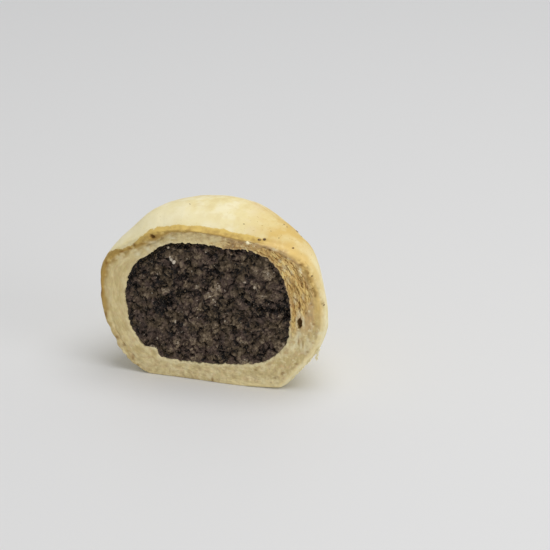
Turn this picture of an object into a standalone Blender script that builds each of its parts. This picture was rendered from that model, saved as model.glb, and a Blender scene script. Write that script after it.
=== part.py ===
"""Half of a black sesame mooncake: a flaky pastry crust round a black sesame filling.

Metres, +Z up. The cut face looks along -Y, X runs across it, and the cake stands on its
flat bottom at Z = 0, with the origin under the middle of the crust's bounding box.

Until the last step both pieces are worked out in the cut's own frame, whose origin lies
on the cut plane, on the floor, under the middle of the cake.
"""
import math

import bmesh
import bpy
import numpy as np
from mathutils import Matrix, Vector, noise

MM = 0.001

# The whole bun, as it was before the knife went through
HALF_WIDTH = 31.0 * MM
HALF_DEPTH = 28.6 * MM
CROWN_HEIGHT = 49.9 * MM
BELLY_HEIGHT = 21.9 * MM
BOTTOM_RADIUS = 17.0 * MM
PLAN_POWER = 1.9
SHOULDER_LEFT = 3.07
SHOULDER_RIGHT = 2.75
FOOT_LEFT = 1.70
FOOT_RIGHT = 1.00
FOOT_TURN = 1.75
SIDE_BLEND = 10.0 * MM

# The knife pressed the crown down at the cut, and the dome rises again behind it
PRESS = 5.9 * MM
PRESS_FADE = 6.9 * MM

# Dents and bulges of the hand-shaped bun. Each has its direction in degrees round the
# belly point, its spread in degrees, its share of the radius at the cut and at the back.
HAND_DENTS = (
    (20.0, 14.0, -0.020, -0.046),
    (48.0, 14.0, -0.018, -0.059),
    (72.0, 16.0, -0.041, -0.008),
    (110.0, 16.0, 0.005, -0.010),
    (142.0, 14.0, -0.058, -0.055),
    (172.0, 14.0, 0.008, 0.007),
    (312.0, 12.0, 0.047, 0.000),
    (335.0, 14.0, 0.022, -0.004),
    (358.0, 14.0, 0.011, -0.050),
)
DENT_DEPTH = 9.0 * MM
# The dents fade out towards the middle of the back, within this share of the half width
BACK_CALM = 0.7

# The knife rounded the edge between skin and cut, broadly on the right only
NARROW_EDGE = 0.35 * MM
BROAD_EDGE = 2.0 * MM
# and it drew the foot of the cut forwards a little, right of the middle
FOOT_BULGE = 0.6 * MM
BULGE_HEIGHT = 5.0 * MM

# The filling, a rounded block that leaves a crust of 5 to 9 mm
FILLING_CENTRE_X = -1.4 * MM
FILLING_CENTRE_Z = 22.5 * MM
FILLING_HALF_WIDTH = 22.1 * MM
FILLING_HALF_HEIGHT = 17.6 * MM
FILLING_DEPTH = 21.0 * MM
FILLING_BACK_POWER = 2.3
CORNER_POWERS = ((45.0, 3.2), (135.0, 2.2), (225.0, 2.8), (315.0, 2.65))
# Where crust hangs into the filling: direction, spread in degrees, and reach
CRUST_INTRUSIONS = ((73.0, 14.4, 1.9 * MM), (225.5, 5.5, 1.1 * MM), (289.0, 28.0, 1.1 * MM))
GAP = 0.3 * MM

# Relief of the crust. Over the top and left the skin shows in the cut as a rounded lip
# above a crease, whose thickness changes with the direction in degrees.
LIP_THICKNESS = (
    (52.0, 0.8 * MM),
    (64.0, 1.2 * MM),
    (90.0, 1.1 * MM),
    (104.0, 1.7 * MM),
    (118.0, 2.2 * MM),
    (138.0, 2.8 * MM),
    (149.0, 1.6 * MM),
    (172.0, 1.3 * MM),
)
LIP_STAND = 0.55 * MM
CREASE_DEPTH = 0.75 * MM
CREASE_WIDTH = 0.45 * MM
SKIN_SHARE = 0.7
FLAKE_RELIEF = 0.55 * MM
FLAKE_LENGTH = 5.0 * MM
CUT_GRAIN = 0.22 * MM
CRUMBLE = 0.9 * MM
SWIRL_PITCH = 8.5 * MM
SWIRL_STEP = 0.50 * MM
SWIRL_EDGE = 0.4
SKIN_WAVE = 0.22 * MM
WAVE_SIZE = 9.0 * MM
POCKET_CENTRE = (23.9 * MM, 0.0, 19.9 * MM)
POCKET_RADII = (0.65 * MM, 1.6 * MM, 1.45 * MM)

# Relief of the filling
FILLING_RECESS = 0.12 * MM
GRANULE = 2.1 * MM
GRANULE_RELIEF = 0.75 * MM
EDGE_DROP = 0.8 * MM
GRIT = 0.9 * MM
GRIT_RELIEF = 0.25 * MM
CRACK_START = (10.0 * MM, 23.0 * MM)
CRACK_END = (21.0 * MM, 24.0 * MM)
CRACK_WIDTH = 0.9 * MM
CRACK_DEPTH = 0.8 * MM
PIT_CENTRE = (-12.8 * MM, 21.0 * MM)
PIT_RADIUS = 1.5 * MM
PIT_DEPTH = 0.8 * MM

# How finely each piece is divided
TURN_STEPS = 120
OUTER_RINGS = 16
CUT_RINGS = 12
RING_CROWDING = 1.25
CAVITY_RINGS = 9
FILLING_SUBDIVISIONS = 5
POCKET_SEGMENTS = 12

# Fixed offsets that keep the noise patterns apart
SKIN_SEED = Vector((3.1, 7.7, 1.3))
CUT_SEED = Vector((11.9, 2.4, 5.6))
FLAKE_SEED = Vector((6.2, 13.8, 4.1))
CRUMBLE_SEED = Vector((9.4, 1.2, 8.8))
GRANULE_SEED = Vector((2.7, 5.5, 14.3))
GRIT_SEED = Vector((17.2, 8.1, 3.9))


def remove_everything():
    """Start from an empty file."""
    for thing in list(bpy.data.objects):
        bpy.data.objects.remove(thing, do_unlink=True)


def new_collection(name):
    """Make a collection under the scene's own."""
    collection = bpy.data.collections.new(name)
    bpy.context.scene.collection.children.link(collection)
    return collection


def principled(name, colour, roughness):
    """One plain Principled material."""
    material = bpy.data.materials.new(name)
    material.use_nodes = True
    shader = material.node_tree.nodes["Principled BSDF"]
    shader.inputs["Base Color"].default_value = (*colour, 1.0)
    shader.inputs["Roughness"].default_value = roughness
    shader.inputs["Metallic"].default_value = 0.0
    return material


def wrapped(degrees, centre):
    """The angle from centre to degrees, between -180 and 180."""
    return (degrees - centre + 180.0) % 360.0 - 180.0


def bell(distance, width):
    """1 in the middle, falling to 0 a couple of widths away."""
    return np.exp(-(distance / width) ** 2)


def ramp(value, start, end):
    """0 before start, 1 after end, smooth between."""
    share = np.clip((value - start) / (end - start), 0.0, 1.0)
    return share * share * (3.0 - 2.0 * share)


def bun_value(points):
    """Below 1 inside the bun and above 1 outside it, for an array of points."""
    x, y, z = points[:, 0], points[:, 1], points[:, 2]
    direction = np.degrees(np.arctan2(z - BELLY_HEIGHT, x))
    near_cut = bell(y, DENT_DEPTH)
    off_axis = ramp(np.hypot(x, z - BELLY_HEIGHT), 0.0, BACK_CALM * HALF_WIDTH)
    swell = np.ones(len(points))
    for centre, spread, at_cut, at_back in HAND_DENTS:
        amount = at_cut * near_cut + at_back * (1.0 - near_cut) * off_axis
        swell += bell(wrapped(direction, centre), spread) * amount
    x = x / swell
    rise = (z - BELLY_HEIGHT) / swell

    right = 0.5 * (1.0 + np.tanh(x / SIDE_BLEND))
    shoulder = SHOULDER_LEFT * (1.0 - right) + SHOULDER_RIGHT * right
    foot = FOOT_LEFT * (1.0 - right) + FOOT_RIGHT * right

    across = np.abs(x / HALF_WIDTH) ** PLAN_POWER
    along = np.abs(y / HALF_DEPTH) ** PLAN_POWER
    plan = (across + along) ** (1.0 / PLAN_POWER)

    crown = CROWN_HEIGHT - PRESS * np.exp(-y / PRESS_FADE)
    upper = plan ** shoulder + (np.maximum(rise, 0.0) / (crown - BELLY_HEIGHT)) ** shoulder

    flat = BOTTOM_RADIUS / HALF_WIDTH
    past_flat = np.maximum(plan - flat, 0.0) / (1.0 - flat)
    lower = past_flat ** foot + (np.maximum(-rise, 0.0) / BELLY_HEIGHT) ** FOOT_TURN
    return np.where(rise >= 0.0, upper, lower)


def bun_surface(directions):
    """Where rays from the belly point leave the bun, found by halving."""
    belly = np.array((0.0, 0.0, BELLY_HEIGHT))
    low = np.zeros(len(directions))
    high = np.full(len(directions), 2.0 * HALF_WIDTH)
    for _ in range(40):
        middle = 0.5 * (low + high)
        inside = bun_value(belly + directions * middle[:, None]) < 1.0
        low = np.where(inside, middle, low)
        high = np.where(inside, high, middle)
    surface = belly + directions * low[:, None]
    surface[:, 2] = np.where(surface[:, 2] < 0.01 * MM, 0.0, surface[:, 2])
    return surface


def filling_radius(direction):
    """Radius of the filling's outline in the cut, for directions in degrees."""
    weights = [bell(wrapped(direction, corner), 40.0) for corner, _ in CORNER_POWERS]
    powers = [power for _, power in CORNER_POWERS]
    power = sum(w * p for w, p in zip(weights, powers)) / sum(weights)
    across = np.abs(np.cos(np.radians(direction))) / FILLING_HALF_WIDTH
    up = np.abs(np.sin(np.radians(direction))) / FILLING_HALF_HEIGHT
    radius = (across ** power + up ** power) ** (-1.0 / power)
    for centre, spread, reach in CRUST_INTRUSIONS:
        radius = radius - reach * bell(wrapped(direction, centre), spread)
    return radius


def filling_surface(directions, margin):
    """The filling's surface, grown by margin, in the given directions."""
    turn = np.degrees(np.arctan2(directions[:, 2], directions[:, 0]))
    tilt = np.arcsin(np.clip(directions[:, 1], 0.0, 1.0))
    power = 2.0 / FILLING_BACK_POWER
    radius = (filling_radius(turn) + margin) * np.cos(tilt) ** power
    depth = (FILLING_DEPTH + margin) * np.sin(tilt) ** power
    x = FILLING_CENTRE_X + radius * np.cos(np.radians(turn))
    z = FILLING_CENTRE_Z + radius * np.sin(np.radians(turn))
    return np.column_stack((x, depth, z))


def edge_radius(direction):
    """How broadly the edge between skin and cut is rounded, for directions in degrees."""
    side = wrapped(direction, 0.0)
    broad = ramp(side, -70.0, -48.0) * (1.0 - ramp(side, 44.0, 66.0))
    return NARROW_EDGE + (BROAD_EDGE - NARROW_EDGE) * broad


def edge_recess(from_skin, radius):
    """How far the rounded edge lies behind the cut, at a distance from the skin."""
    inward = np.maximum(radius - from_skin, 0.0)
    return radius - np.sqrt(np.maximum(radius ** 2 - inward ** 2, 0.0))


def read_places(mesh):
    """The mesh's vertices as an array of points."""
    places = np.empty(len(mesh.vertices) * 3)
    mesh.vertices.foreach_get("co", places)
    return places.reshape(-1, 3)


def write_places(mesh, places):
    """Move the mesh's vertices to an array of points."""
    mesh.vertices.foreach_set("co", places.ravel())
    mesh.update()


def noise_at(places, size, seed):
    """Smooth noise from -1 to 1, whose features are about size across."""
    return np.array([noise.noise(Vector(place) / size + seed) for place in places])


def granules_at(places, size, seed):
    """Rounded grains about size across, 1 at their tops and 0 between them."""
    nearest = [noise.voronoi(Vector(place) / size + seed)[0][0] for place in places]
    return 1.0 - np.clip(np.array(nearest), 0.0, 1.0)


def ring_turned_shell():
    """A thick half ball, turned from its profile: the crust before it is shaped."""
    inner = 0.75 * HALF_WIDTH
    profile = []
    # The rings crowd together towards the edge of the cut
    for ring in range(OUTER_RINGS + 1):
        tilt = 0.5 * math.pi * (1.0 - ring / OUTER_RINGS) ** RING_CROWDING
        profile.append((HALF_WIDTH * math.cos(tilt), HALF_WIDTH * math.sin(tilt)))
    for ring in range(1, CUT_RINGS + 1):
        share = (ring / CUT_RINGS) ** RING_CROWDING
        profile.append((HALF_WIDTH * (1.0 - share) + inner * share, 0.0))
    for ring in range(1, CAVITY_RINGS + 1):
        tilt = 0.5 * math.pi * ring / CAVITY_RINGS
        profile.append((inner * math.cos(tilt), inner * math.sin(tilt)))
    profile[0] = (0.0, HALF_WIDTH)
    profile[-1] = (0.0, inner)

    mesh = bpy.data.meshes.new("crust_profile")
    edges = [(i, i + 1) for i in range(len(profile) - 1)]
    mesh.from_pydata([(radius, 0.0, height) for radius, height in profile], edges, [])
    shell = bpy.data.objects.new("crust_profile", mesh)
    bpy.context.scene.collection.objects.link(shell)
    screw = shell.modifiers.new("turn", "SCREW")
    screw.steps = TURN_STEPS
    screw.render_steps = TURN_STEPS
    screw.use_merge_vertices = True
    screw.merge_threshold = 0.00001

    graph = bpy.context.evaluated_depsgraph_get()
    turned = bpy.data.meshes.new_from_object(shell.evaluated_get(graph))
    bpy.data.objects.remove(shell, do_unlink=True)
    turned.transform(Matrix.Rotation(math.radians(-90.0), 4, "X"))
    return turned, inner


def skin_relief(surface, directions):
    """How far the skin stands out: swirled layers, hand waves, a crumbled lower edge."""
    clear_of_floor = ramp(surface[:, 2], 1.0 * MM, 6.0 * MM)
    behind_cut = ramp(surface[:, 1], 0.5 * MM, 7.0 * MM)
    down = np.hypot(surface[:, 0], surface[:, 1]) + (CROWN_HEIGHT - surface[:, 2])
    turn = np.arctan2(surface[:, 1], surface[:, 0]) / (2.0 * math.pi)
    wobble = noise_at(surface, 16.0 * MM, SKIN_SEED)
    layer = (down / SWIRL_PITCH + turn + 0.6 * wobble) % 1.0
    edge = layer - ramp(layer, 1.0 - SWIRL_EDGE, 1.0)
    off_pole = ramp(1.0 - directions[:, 1], 0.0, 0.1)
    steps = (edge - 0.5) * SWIRL_STEP * behind_cut * off_pole
    waves = SKIN_WAVE * noise_at(surface, WAVE_SIZE, SKIN_SEED)

    direction = np.degrees(np.arctan2(directions[:, 2], directions[:, 0]))
    lower_left = bell(wrapped(direction, 218.0), 22.0) * (1.0 - ramp(surface[:, 1], 0.0, 4.0 * MM))
    crumbled = -CRUMBLE * lower_left * np.abs(noise_at(surface, 2.4 * MM, CRUMBLE_SEED))
    return (steps + waves) * clear_of_floor + crumbled * ramp(surface[:, 2], 0.2 * MM, 2.0 * MM)


def cut_relief(places, share, wall, directions):
    """How far the cut crust stands towards the viewer. share is 0 inside and 1 outside."""
    direction = np.degrees(np.arctan2(directions[:, 2], directions[:, 0])) % 360.0
    from_skin = (1.0 - share) * wall
    top = ramp(direction, 48.0, 62.0) * (1.0 - ramp(direction, 176.0, 192.0))
    angles, sizes = zip(*LIP_THICKNESS)
    thickness = np.interp(direction, angles, sizes)
    across = np.clip(from_skin / thickness, 0.0, 1.0)
    lip = LIP_STAND * np.sqrt(4.0 * across * (1.0 - across))
    crease = -CREASE_DEPTH * bell(from_skin - thickness - CREASE_WIDTH, CREASE_WIDTH)
    right = bell(wrapped(direction, 12.0), 32.0)

    # Flakes run along the wall, so their noise is stretched that way
    along = np.radians(direction) * HALF_WIDTH
    stretched = np.column_stack((along / FLAKE_LENGTH, from_skin / (1.4 * MM), 0.0 * along))
    flakes = noise_at(stretched, 1.0, FLAKE_SEED) * FLAKE_RELIEF * (0.3 + right)
    grain = noise_at(places, 1.6 * MM, CUT_SEED) * CUT_GRAIN
    return (lip + crease) * top + flakes + grain


def make_crust(collection):
    """The pastry: the turned shell pressed to the bun's form, with its relief."""
    mesh, inner = ring_turned_shell()
    reference = read_places(mesh)
    reach = np.linalg.norm(reference, axis=1)
    directions = reference / reach[:, None]
    share = np.clip((reach - inner) / (HALF_WIDTH - inner), 0.0, 1.0)

    outside = bun_surface(directions)
    inside = filling_surface(directions, GAP)
    wall = np.linalg.norm(outside - inside, axis=1)
    places = inside + (outside - inside) * share[:, None]

    near_skin = ramp(share, SKIN_SHARE, 1.0)
    places += directions * (skin_relief(outside, directions) * near_skin)[:, None]
    on_skin = share > 0.999
    on_cut = (reference[:, 1] < 0.001 * MM) & (share > 0.01) & ~on_skin
    off_floor = ramp(places[:, 2], 0.0, 0.5 * MM)
    relief = cut_relief(places, share, wall, directions) * off_floor

    direction = np.degrees(np.arctan2(directions[:, 2], directions[:, 0]))
    radius = edge_radius(direction)
    recess = edge_recess((1.0 - share) * wall, radius)
    places[:, 1] = np.where(on_skin, np.hypot(places[:, 1], radius), places[:, 1])
    places[:, 1] += np.where(on_cut, recess - relief, 0.0)
    at_foot = 1.0 - ramp(places[:, 2], 0.0, BULGE_HEIGHT)
    in_front = bell(places[:, 1], BULGE_HEIGHT)
    bulge = FOOT_BULGE * bell(wrapped(direction, 287.0), 26.0) * at_foot * in_front
    places[:, 1] -= np.where(on_cut | on_skin, bulge, 0.0)
    write_places(mesh, places)

    shaped = bmesh.new()
    shaped.from_mesh(mesh)
    bmesh.ops.triangulate(shaped, faces=shaped.faces[:])
    shaped.to_mesh(mesh)
    shaped.free()
    mesh.name = "crust"
    crust = bpy.data.objects.new("crust", mesh)
    collection.objects.link(crust)
    mesh.materials.append(principled("pastry", (0.62, 0.50, 0.29), 0.75))
    mesh.shade_smooth()
    mesh.set_sharp_from_angle(angle=math.radians(35.0))
    return crust


def cut_pocket(crust, cutters):
    """The small air pocket that shows in the cut, right of the filling."""
    mesh = bpy.data.meshes.new("air_pocket")
    ball = bmesh.new()
    bmesh.ops.create_uvsphere(
        ball, u_segments=POCKET_SEGMENTS, v_segments=POCKET_SEGMENTS // 2, radius=1.0)
    bmesh.ops.scale(ball, vec=POCKET_RADII, verts=ball.verts[:])
    bmesh.ops.translate(ball, vec=POCKET_CENTRE, verts=ball.verts[:])
    ball.to_mesh(mesh)
    ball.free()
    pocket = bpy.data.objects.new("air_pocket", mesh)
    pocket.hide_render = True
    pocket.display_type = "WIRE"
    cutters.objects.link(pocket)
    hollow = crust.modifiers.new("air_pocket", "BOOLEAN")
    hollow.operation = "DIFFERENCE"
    hollow.object = pocket
    return pocket


def filling_relief(places, direction, share):
    """How far the cut filling stands towards the viewer, for points on its face."""
    clumps = granules_at(places, GRANULE, GRANULE_SEED) * GRANULE_RELIEF
    grit = noise_at(places, GRIT, GRIT_SEED) * GRIT_RELIEF

    start = np.array(CRACK_START)
    run = np.array(CRACK_END) - start
    flat = places[:, [0, 2]]
    along = np.clip(((flat - start) @ run) / (run @ run), 0.0, 1.0)
    from_crack = np.linalg.norm(flat - (start + along[:, None] * run), axis=1)
    crack = CRACK_DEPTH * bell(from_crack, CRACK_WIDTH)
    from_pit = np.linalg.norm(flat - np.array(PIT_CENTRE), axis=1)
    pit = PIT_DEPTH * bell(from_pit, PIT_RADIUS)
    rounded_edge = EDGE_DROP * ramp(share, 0.93, 1.0)
    return clumps + grit - GRANULE_RELIEF - crack - pit - rounded_edge


def make_filling(collection):
    """The sesame paste: a ball flattened to the cut, grainy on the cut side."""
    mesh = bpy.data.meshes.new("filling")
    ball = bmesh.new()
    bmesh.ops.create_icosphere(ball, subdivisions=FILLING_SUBDIVISIONS, radius=1.0)
    # The ball's belt of edges round its equator becomes the rim of the cut
    bmesh.ops.rotate(
        ball, cent=(0.0, 0.0, 0.0), matrix=Matrix.Rotation(math.radians(-90.0), 3, "X"),
        verts=ball.verts[:])
    ball.to_mesh(mesh)
    ball.free()

    directions = read_places(mesh)
    directions /= np.linalg.norm(directions, axis=1)[:, None]
    directions[:, 1] = np.where(np.abs(directions[:, 1]) < 0.0001, 0.0, directions[:, 1])
    back = filling_surface(np.maximum(directions, (-1.0, 0.0, -1.0)), 0.0)

    # On the front half, the angle from the middle becomes the distance from it
    turn = np.degrees(np.arctan2(directions[:, 2], directions[:, 0]))
    share = np.arccos(np.clip(-directions[:, 1], 0.0, 1.0)) / (0.5 * math.pi)
    radius = filling_radius(turn) * share
    front_x = FILLING_CENTRE_X + radius * np.cos(np.radians(turn))
    front_z = FILLING_CENTRE_Z + radius * np.sin(np.radians(turn))
    front = np.column_stack((front_x, np.zeros(len(turn)), front_z))
    front[:, 1] = FILLING_RECESS - filling_relief(front, turn, share)

    is_front = directions[:, 1] <= 0.0
    places = np.where(is_front[:, None], front, back)
    rim_depth = FILLING_RECESS + EDGE_DROP + 1.5 * GRANULE_RELIEF
    places[:, 1] = np.where(is_front, places[:, 1], np.maximum(places[:, 1], rim_depth))
    write_places(mesh, places)

    filling = bpy.data.objects.new("filling", mesh)
    collection.objects.link(filling)
    mesh.materials.append(principled("sesame_paste", (0.045, 0.031, 0.023), 0.85))
    mesh.shade_smooth()
    mesh.set_sharp_from_angle(angle=math.radians(35.0))
    return filling


def move_to_origin(crust, others):
    """Put the origin under the middle of the crust's box, with the bottom on Z = 0."""
    places = read_places(crust.data)
    low = places.min(axis=0)
    high = places.max(axis=0)
    middle = 0.5 * (low + high)
    shift = Matrix.Translation((-middle[0], -middle[1], -low[2]))
    for thing in [crust] + others:
        thing.data.transform(shift)
        thing.data.update()
    print("moved by", [round(value / MM, 3) for value in shift.translation], "mm")


def report(thing):
    """Print a piece's size and volume."""
    graph = bpy.context.evaluated_depsgraph_get()
    mesh = thing.evaluated_get(graph).to_mesh()
    solid = bmesh.new()
    solid.from_mesh(mesh)
    places = read_places(mesh)
    size = (places.max(axis=0) - places.min(axis=0)) / MM
    triangles = sum(len(face.verts) - 2 for face in solid.faces)
    volume = solid.calc_volume() / MM ** 3 / 1000.0
    print(thing.name, "size", size.round(2), "mm", triangles, "triangles", round(volume, 2), "ml")
    solid.free()


def main():
    """Build the cake."""
    remove_everything()
    parts = new_collection("black_sesame_mooncake")
    cutters = new_collection("cutters")
    crust = make_crust(parts)
    filling = make_filling(parts)
    pocket = cut_pocket(crust, cutters)
    move_to_origin(crust, [filling, pocket])
    report(crust)
    report(filling)


main()
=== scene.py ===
# %% [markdown]
# # Half of a black sesame mooncake
#
# The subject is a small round pastry, baked, then cut in half upright and stood on its flat
# bottom. A pale crust of many thin layers wraps a coarse, nearly black sesame filling. A
# part file already holds both as plain solids at their real size. This lesson loads them,
# and makes for each a finely shaped piece of the same form, with its crumbs and colours.

# %% Load the plain part
import math

import bpy
import numpy as np
from mathutils import Matrix, Vector, noise
from mathutils.bvhtree import BVHTree


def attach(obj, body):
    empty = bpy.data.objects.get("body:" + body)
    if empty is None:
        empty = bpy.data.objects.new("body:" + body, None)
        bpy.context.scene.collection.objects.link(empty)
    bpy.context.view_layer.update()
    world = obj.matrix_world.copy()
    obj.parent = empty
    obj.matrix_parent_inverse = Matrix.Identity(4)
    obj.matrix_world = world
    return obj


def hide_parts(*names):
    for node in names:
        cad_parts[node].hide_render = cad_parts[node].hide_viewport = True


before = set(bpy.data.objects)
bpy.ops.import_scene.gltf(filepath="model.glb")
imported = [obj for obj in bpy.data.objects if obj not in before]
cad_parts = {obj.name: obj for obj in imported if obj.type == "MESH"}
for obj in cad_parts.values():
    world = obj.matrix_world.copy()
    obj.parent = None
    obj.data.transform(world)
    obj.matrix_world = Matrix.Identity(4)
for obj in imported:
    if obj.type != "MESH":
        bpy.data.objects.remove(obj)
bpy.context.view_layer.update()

MM = 0.001


def new_object(name, data):
    """An object in the scene that holds the given data."""
    thing = bpy.data.objects.new(name, data)
    bpy.context.scene.collection.objects.link(thing)
    return thing


# %% [markdown]
# ## The camera
#
# A long lens far away keeps a small thing free of distortion. The camera stands a little to
# the right of the cut and looks down on it. It could be aimed with a constraint, but its
# three axes written as a matrix say exactly where it points, with no lens shift.

# %% Set the camera
CUT_MIDDLE = Vector((-0.11, -14.00, 0.0)) * MM
CAMERA_TURN = math.radians(15.2)
CAMERA_TILT = math.radians(25.0)
CAMERA_DISTANCE = 850.0 * MM
PICTURE_PIXELS = 550
PIXELS_PER_MM = 3.733
SENSOR = 36.0
AIM = Vector((0.0, 12.0, 20.0)) * MM
AIM_TO_CENTRE = (13.45 * MM, 5.40 * MM)

RIGHT = Vector((math.cos(CAMERA_TURN), math.sin(CAMERA_TURN), 0.0))
BACK = Vector((
    math.sin(CAMERA_TURN) * math.cos(CAMERA_TILT),
    -math.cos(CAMERA_TURN) * math.cos(CAMERA_TILT),
    math.sin(CAMERA_TILT)))
UP = BACK.cross(RIGHT)
EYE = (CUT_MIDDLE + AIM + RIGHT * AIM_TO_CENTRE[0] + UP * AIM_TO_CENTRE[1]
       + BACK * CAMERA_DISTANCE)
LENS_PIXELS = PIXELS_PER_MM * CAMERA_DISTANCE / MM

camera = new_object("camera", bpy.data.cameras.new("camera"))
camera.data.sensor_width = SENSOR
camera.data.lens = LENS_PIXELS / PICTURE_PIXELS * SENSOR
camera.data.clip_start = 0.05
camera.matrix_world = Matrix.Translation(EYE) @ Matrix((RIGHT, UP, BACK)).transposed().to_4x4()
bpy.context.scene.camera = camera
print("lens", round(camera.data.lens, 1), "mm, at", [round(v, 3) for v in EYE])

# %% [markdown]
# ## From a picture point to a place on the cut
#
# Spots and gaps of the real cake are easiest to point at in the picture. A line of sight
# through a picture point meets the flat cut in one place, which gives that spot a true place.

# %% Follow a line of sight


def sight(picture_x, picture_y):
    """The direction in which the camera sees a picture point, with y counted downwards."""
    across = (picture_x - 0.5 * PICTURE_PIXELS) / LENS_PIXELS
    up = (0.5 * PICTURE_PIXELS - picture_y) / LENS_PIXELS
    return RIGHT * across + UP * up - BACK


def place_on_cut(picture_x, picture_y):
    """Where that line meets the cut, as x and z from the middle of the cut."""
    line = sight(picture_x, picture_y)
    spot = EYE + line * ((CUT_MIDDLE.y - EYE.y) / line.y) - CUT_MIDDLE
    return spot.x, spot.z


print("picture middle on the cut, mm:", [round(v / MM, 1) for v in place_on_cut(275, 275)])

# %% [markdown]
# ## Node trees in plain sums
#
# Finishes and scattered pieces are both made of nodes. Wiring them one by one is hard to
# read, so a small class wraps a socket and turns each operator into a Math node. Every other
# node comes from one method, which takes its type, its settings and its sockets.

# %% Wrap sockets and trees


class Wire:
    """A socket that can stand in a sum."""

    def __init__(self, bench, socket):
        self.bench = bench
        self.socket = socket

    def math(self, operation, *values):
        """One Math node with these values in its sockets."""
        sockets = dict(enumerate(values))
        return self.bench.add("ShaderNodeMath", {"operation": operation}, sockets)

    def __add__(self, other):
        return self.math("ADD", self, other)

    def __sub__(self, other):
        return self.math("SUBTRACT", self, other)

    def __rsub__(self, other):
        return self.math("SUBTRACT", other, self)

    def __mul__(self, other):
        return self.math("MULTIPLY", self, other)

    def __truediv__(self, other):
        return self.math("DIVIDE", self, other)

    def __rtruediv__(self, other):
        return self.math("DIVIDE", other, self)

    def __abs__(self):
        return self.math("ABSOLUTE", self)

    __radd__ = __add__
    __rmul__ = __mul__

    def ramp(self, start, end):
        """0 at start, 1 at end, smooth between."""
        settings = {"interpolation_type": "SMOOTHSTEP"}
        sockets = {"Value": self, "From Min": start, "From Max": end}
        return self.bench.add("ShaderNodeMapRange", settings, sockets)


class Bench:
    """A node tree, with one method that adds a node to it."""

    def __init__(self, tree):
        self.tree = tree

    def add(self, kind, settings=None, sockets=None, out=0):
        """A new node, given back as the wire of one of its outputs."""
        node = self.tree.nodes.new(kind)
        for name, value in (settings or {}).items():
            setattr(node, name, value)
        for key, value in (sockets or {}).items():
            if isinstance(value, Wire):
                self.tree.links.new(value.socket, node.inputs[key])
            else:
                node.inputs[key].default_value = value
        if not node.outputs:
            return None
        return Wire(self, node.outputs[out])

    def mix(self, factor, first, second):
        """A colour between two others."""
        settings = {"data_type": "RGBA"}
        return self.add("ShaderNodeMix", settings, {0: factor, 6: first, 7: second}, 2)

    def vector(self, operation, first, second):
        """A sum or product of two vectors."""
        settings = {"operation": operation}
        return self.add("ShaderNodeVectorMath", settings, {0: first, 1: second})

    def scaled(self, vector, factor):
        """A vector times a number."""
        settings = {"operation": "SCALE"}
        return self.add("ShaderNodeVectorMath", settings, {0: vector, "Scale": factor})

    def noise(self, vector, size, detail=2.0, seed=0.0, out=0):
        """Noise from 0 to 1 with features about size across, or its colour if out is 1."""
        settings = {"noise_dimensions": "4D"}
        sockets = {"Vector": vector, "W": seed, "Scale": 1.0 / size, "Detail": detail}
        return self.add("ShaderNodeTexNoise", settings, sockets, out)


print("node helpers ready")

# %% [markdown]
# ## The form of the bun
#
# The crust's outside is a rounded bun with a flat bottom, whose crown the knife pressed down
# at the cut. A sculpted mesh could hold it, but a rule keeps it smooth at any fineness and
# equal to the plain part: a value that is 1 on the surface, found along rays by halving.

# %% The bun's rule
HALF_WIDTH = 31.0 * MM
HALF_DEPTH = 28.6 * MM
CROWN_HEIGHT = 49.9 * MM
BELLY_HEIGHT = 21.9 * MM
BOTTOM_RADIUS = 17.0 * MM
PLAN_POWER = 1.9
SHOULDERS = (3.07, 2.75)
FEET = (1.70, 1.00)
FOOT_TURN = 1.75
SIDE_BLEND = 10.0 * MM
PRESS = 5.9 * MM
PRESS_FADE = 6.9 * MM
HAND_DENTS = (
    (20.0, 14.0, -0.020, -0.046),
    (48.0, 14.0, -0.018, -0.059),
    (72.0, 16.0, -0.041, -0.008),
    (110.0, 16.0, 0.005, -0.010),
    (142.0, 14.0, -0.058, -0.055),
    (172.0, 14.0, 0.008, 0.007),
    (312.0, 12.0, 0.047, 0.000),
    (335.0, 14.0, 0.022, -0.004),
    (358.0, 14.0, 0.011, -0.050),
)
DENT_DEPTH = 9.0 * MM
BACK_CALM = 0.7


def wrapped(degrees, centre):
    """The angle from centre to degrees, between -180 and 180."""
    return (degrees - centre + 180.0) % 360.0 - 180.0


def bell(distance, width):
    """1 in the middle, falling to 0 a couple of widths away."""
    return np.exp(-(distance / width) ** 2)


def towards(degrees, centre, spread):
    """1 at one angle, falling to 0 a couple of spreads to either side."""
    return bell(wrapped(degrees, centre), spread)


def ramp(value, start, end):
    """0 before start, 1 after end, smooth between."""
    share = np.clip((value - start) / (end - start), 0.0, 1.0)
    return share * share * (3.0 - 2.0 * share)


def between(value, start, full, fading, end):
    """1 from full to fading, 0 before start and after end."""
    return ramp(value, start, full) * (1.0 - ramp(value, fading, end))


def read_off(table, degrees, period=None):
    """The length at each angle, from a table of angles and lengths in mm."""
    angles, lengths = zip(*table)
    return np.interp(degrees, angles, lengths, period=period) * MM


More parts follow.
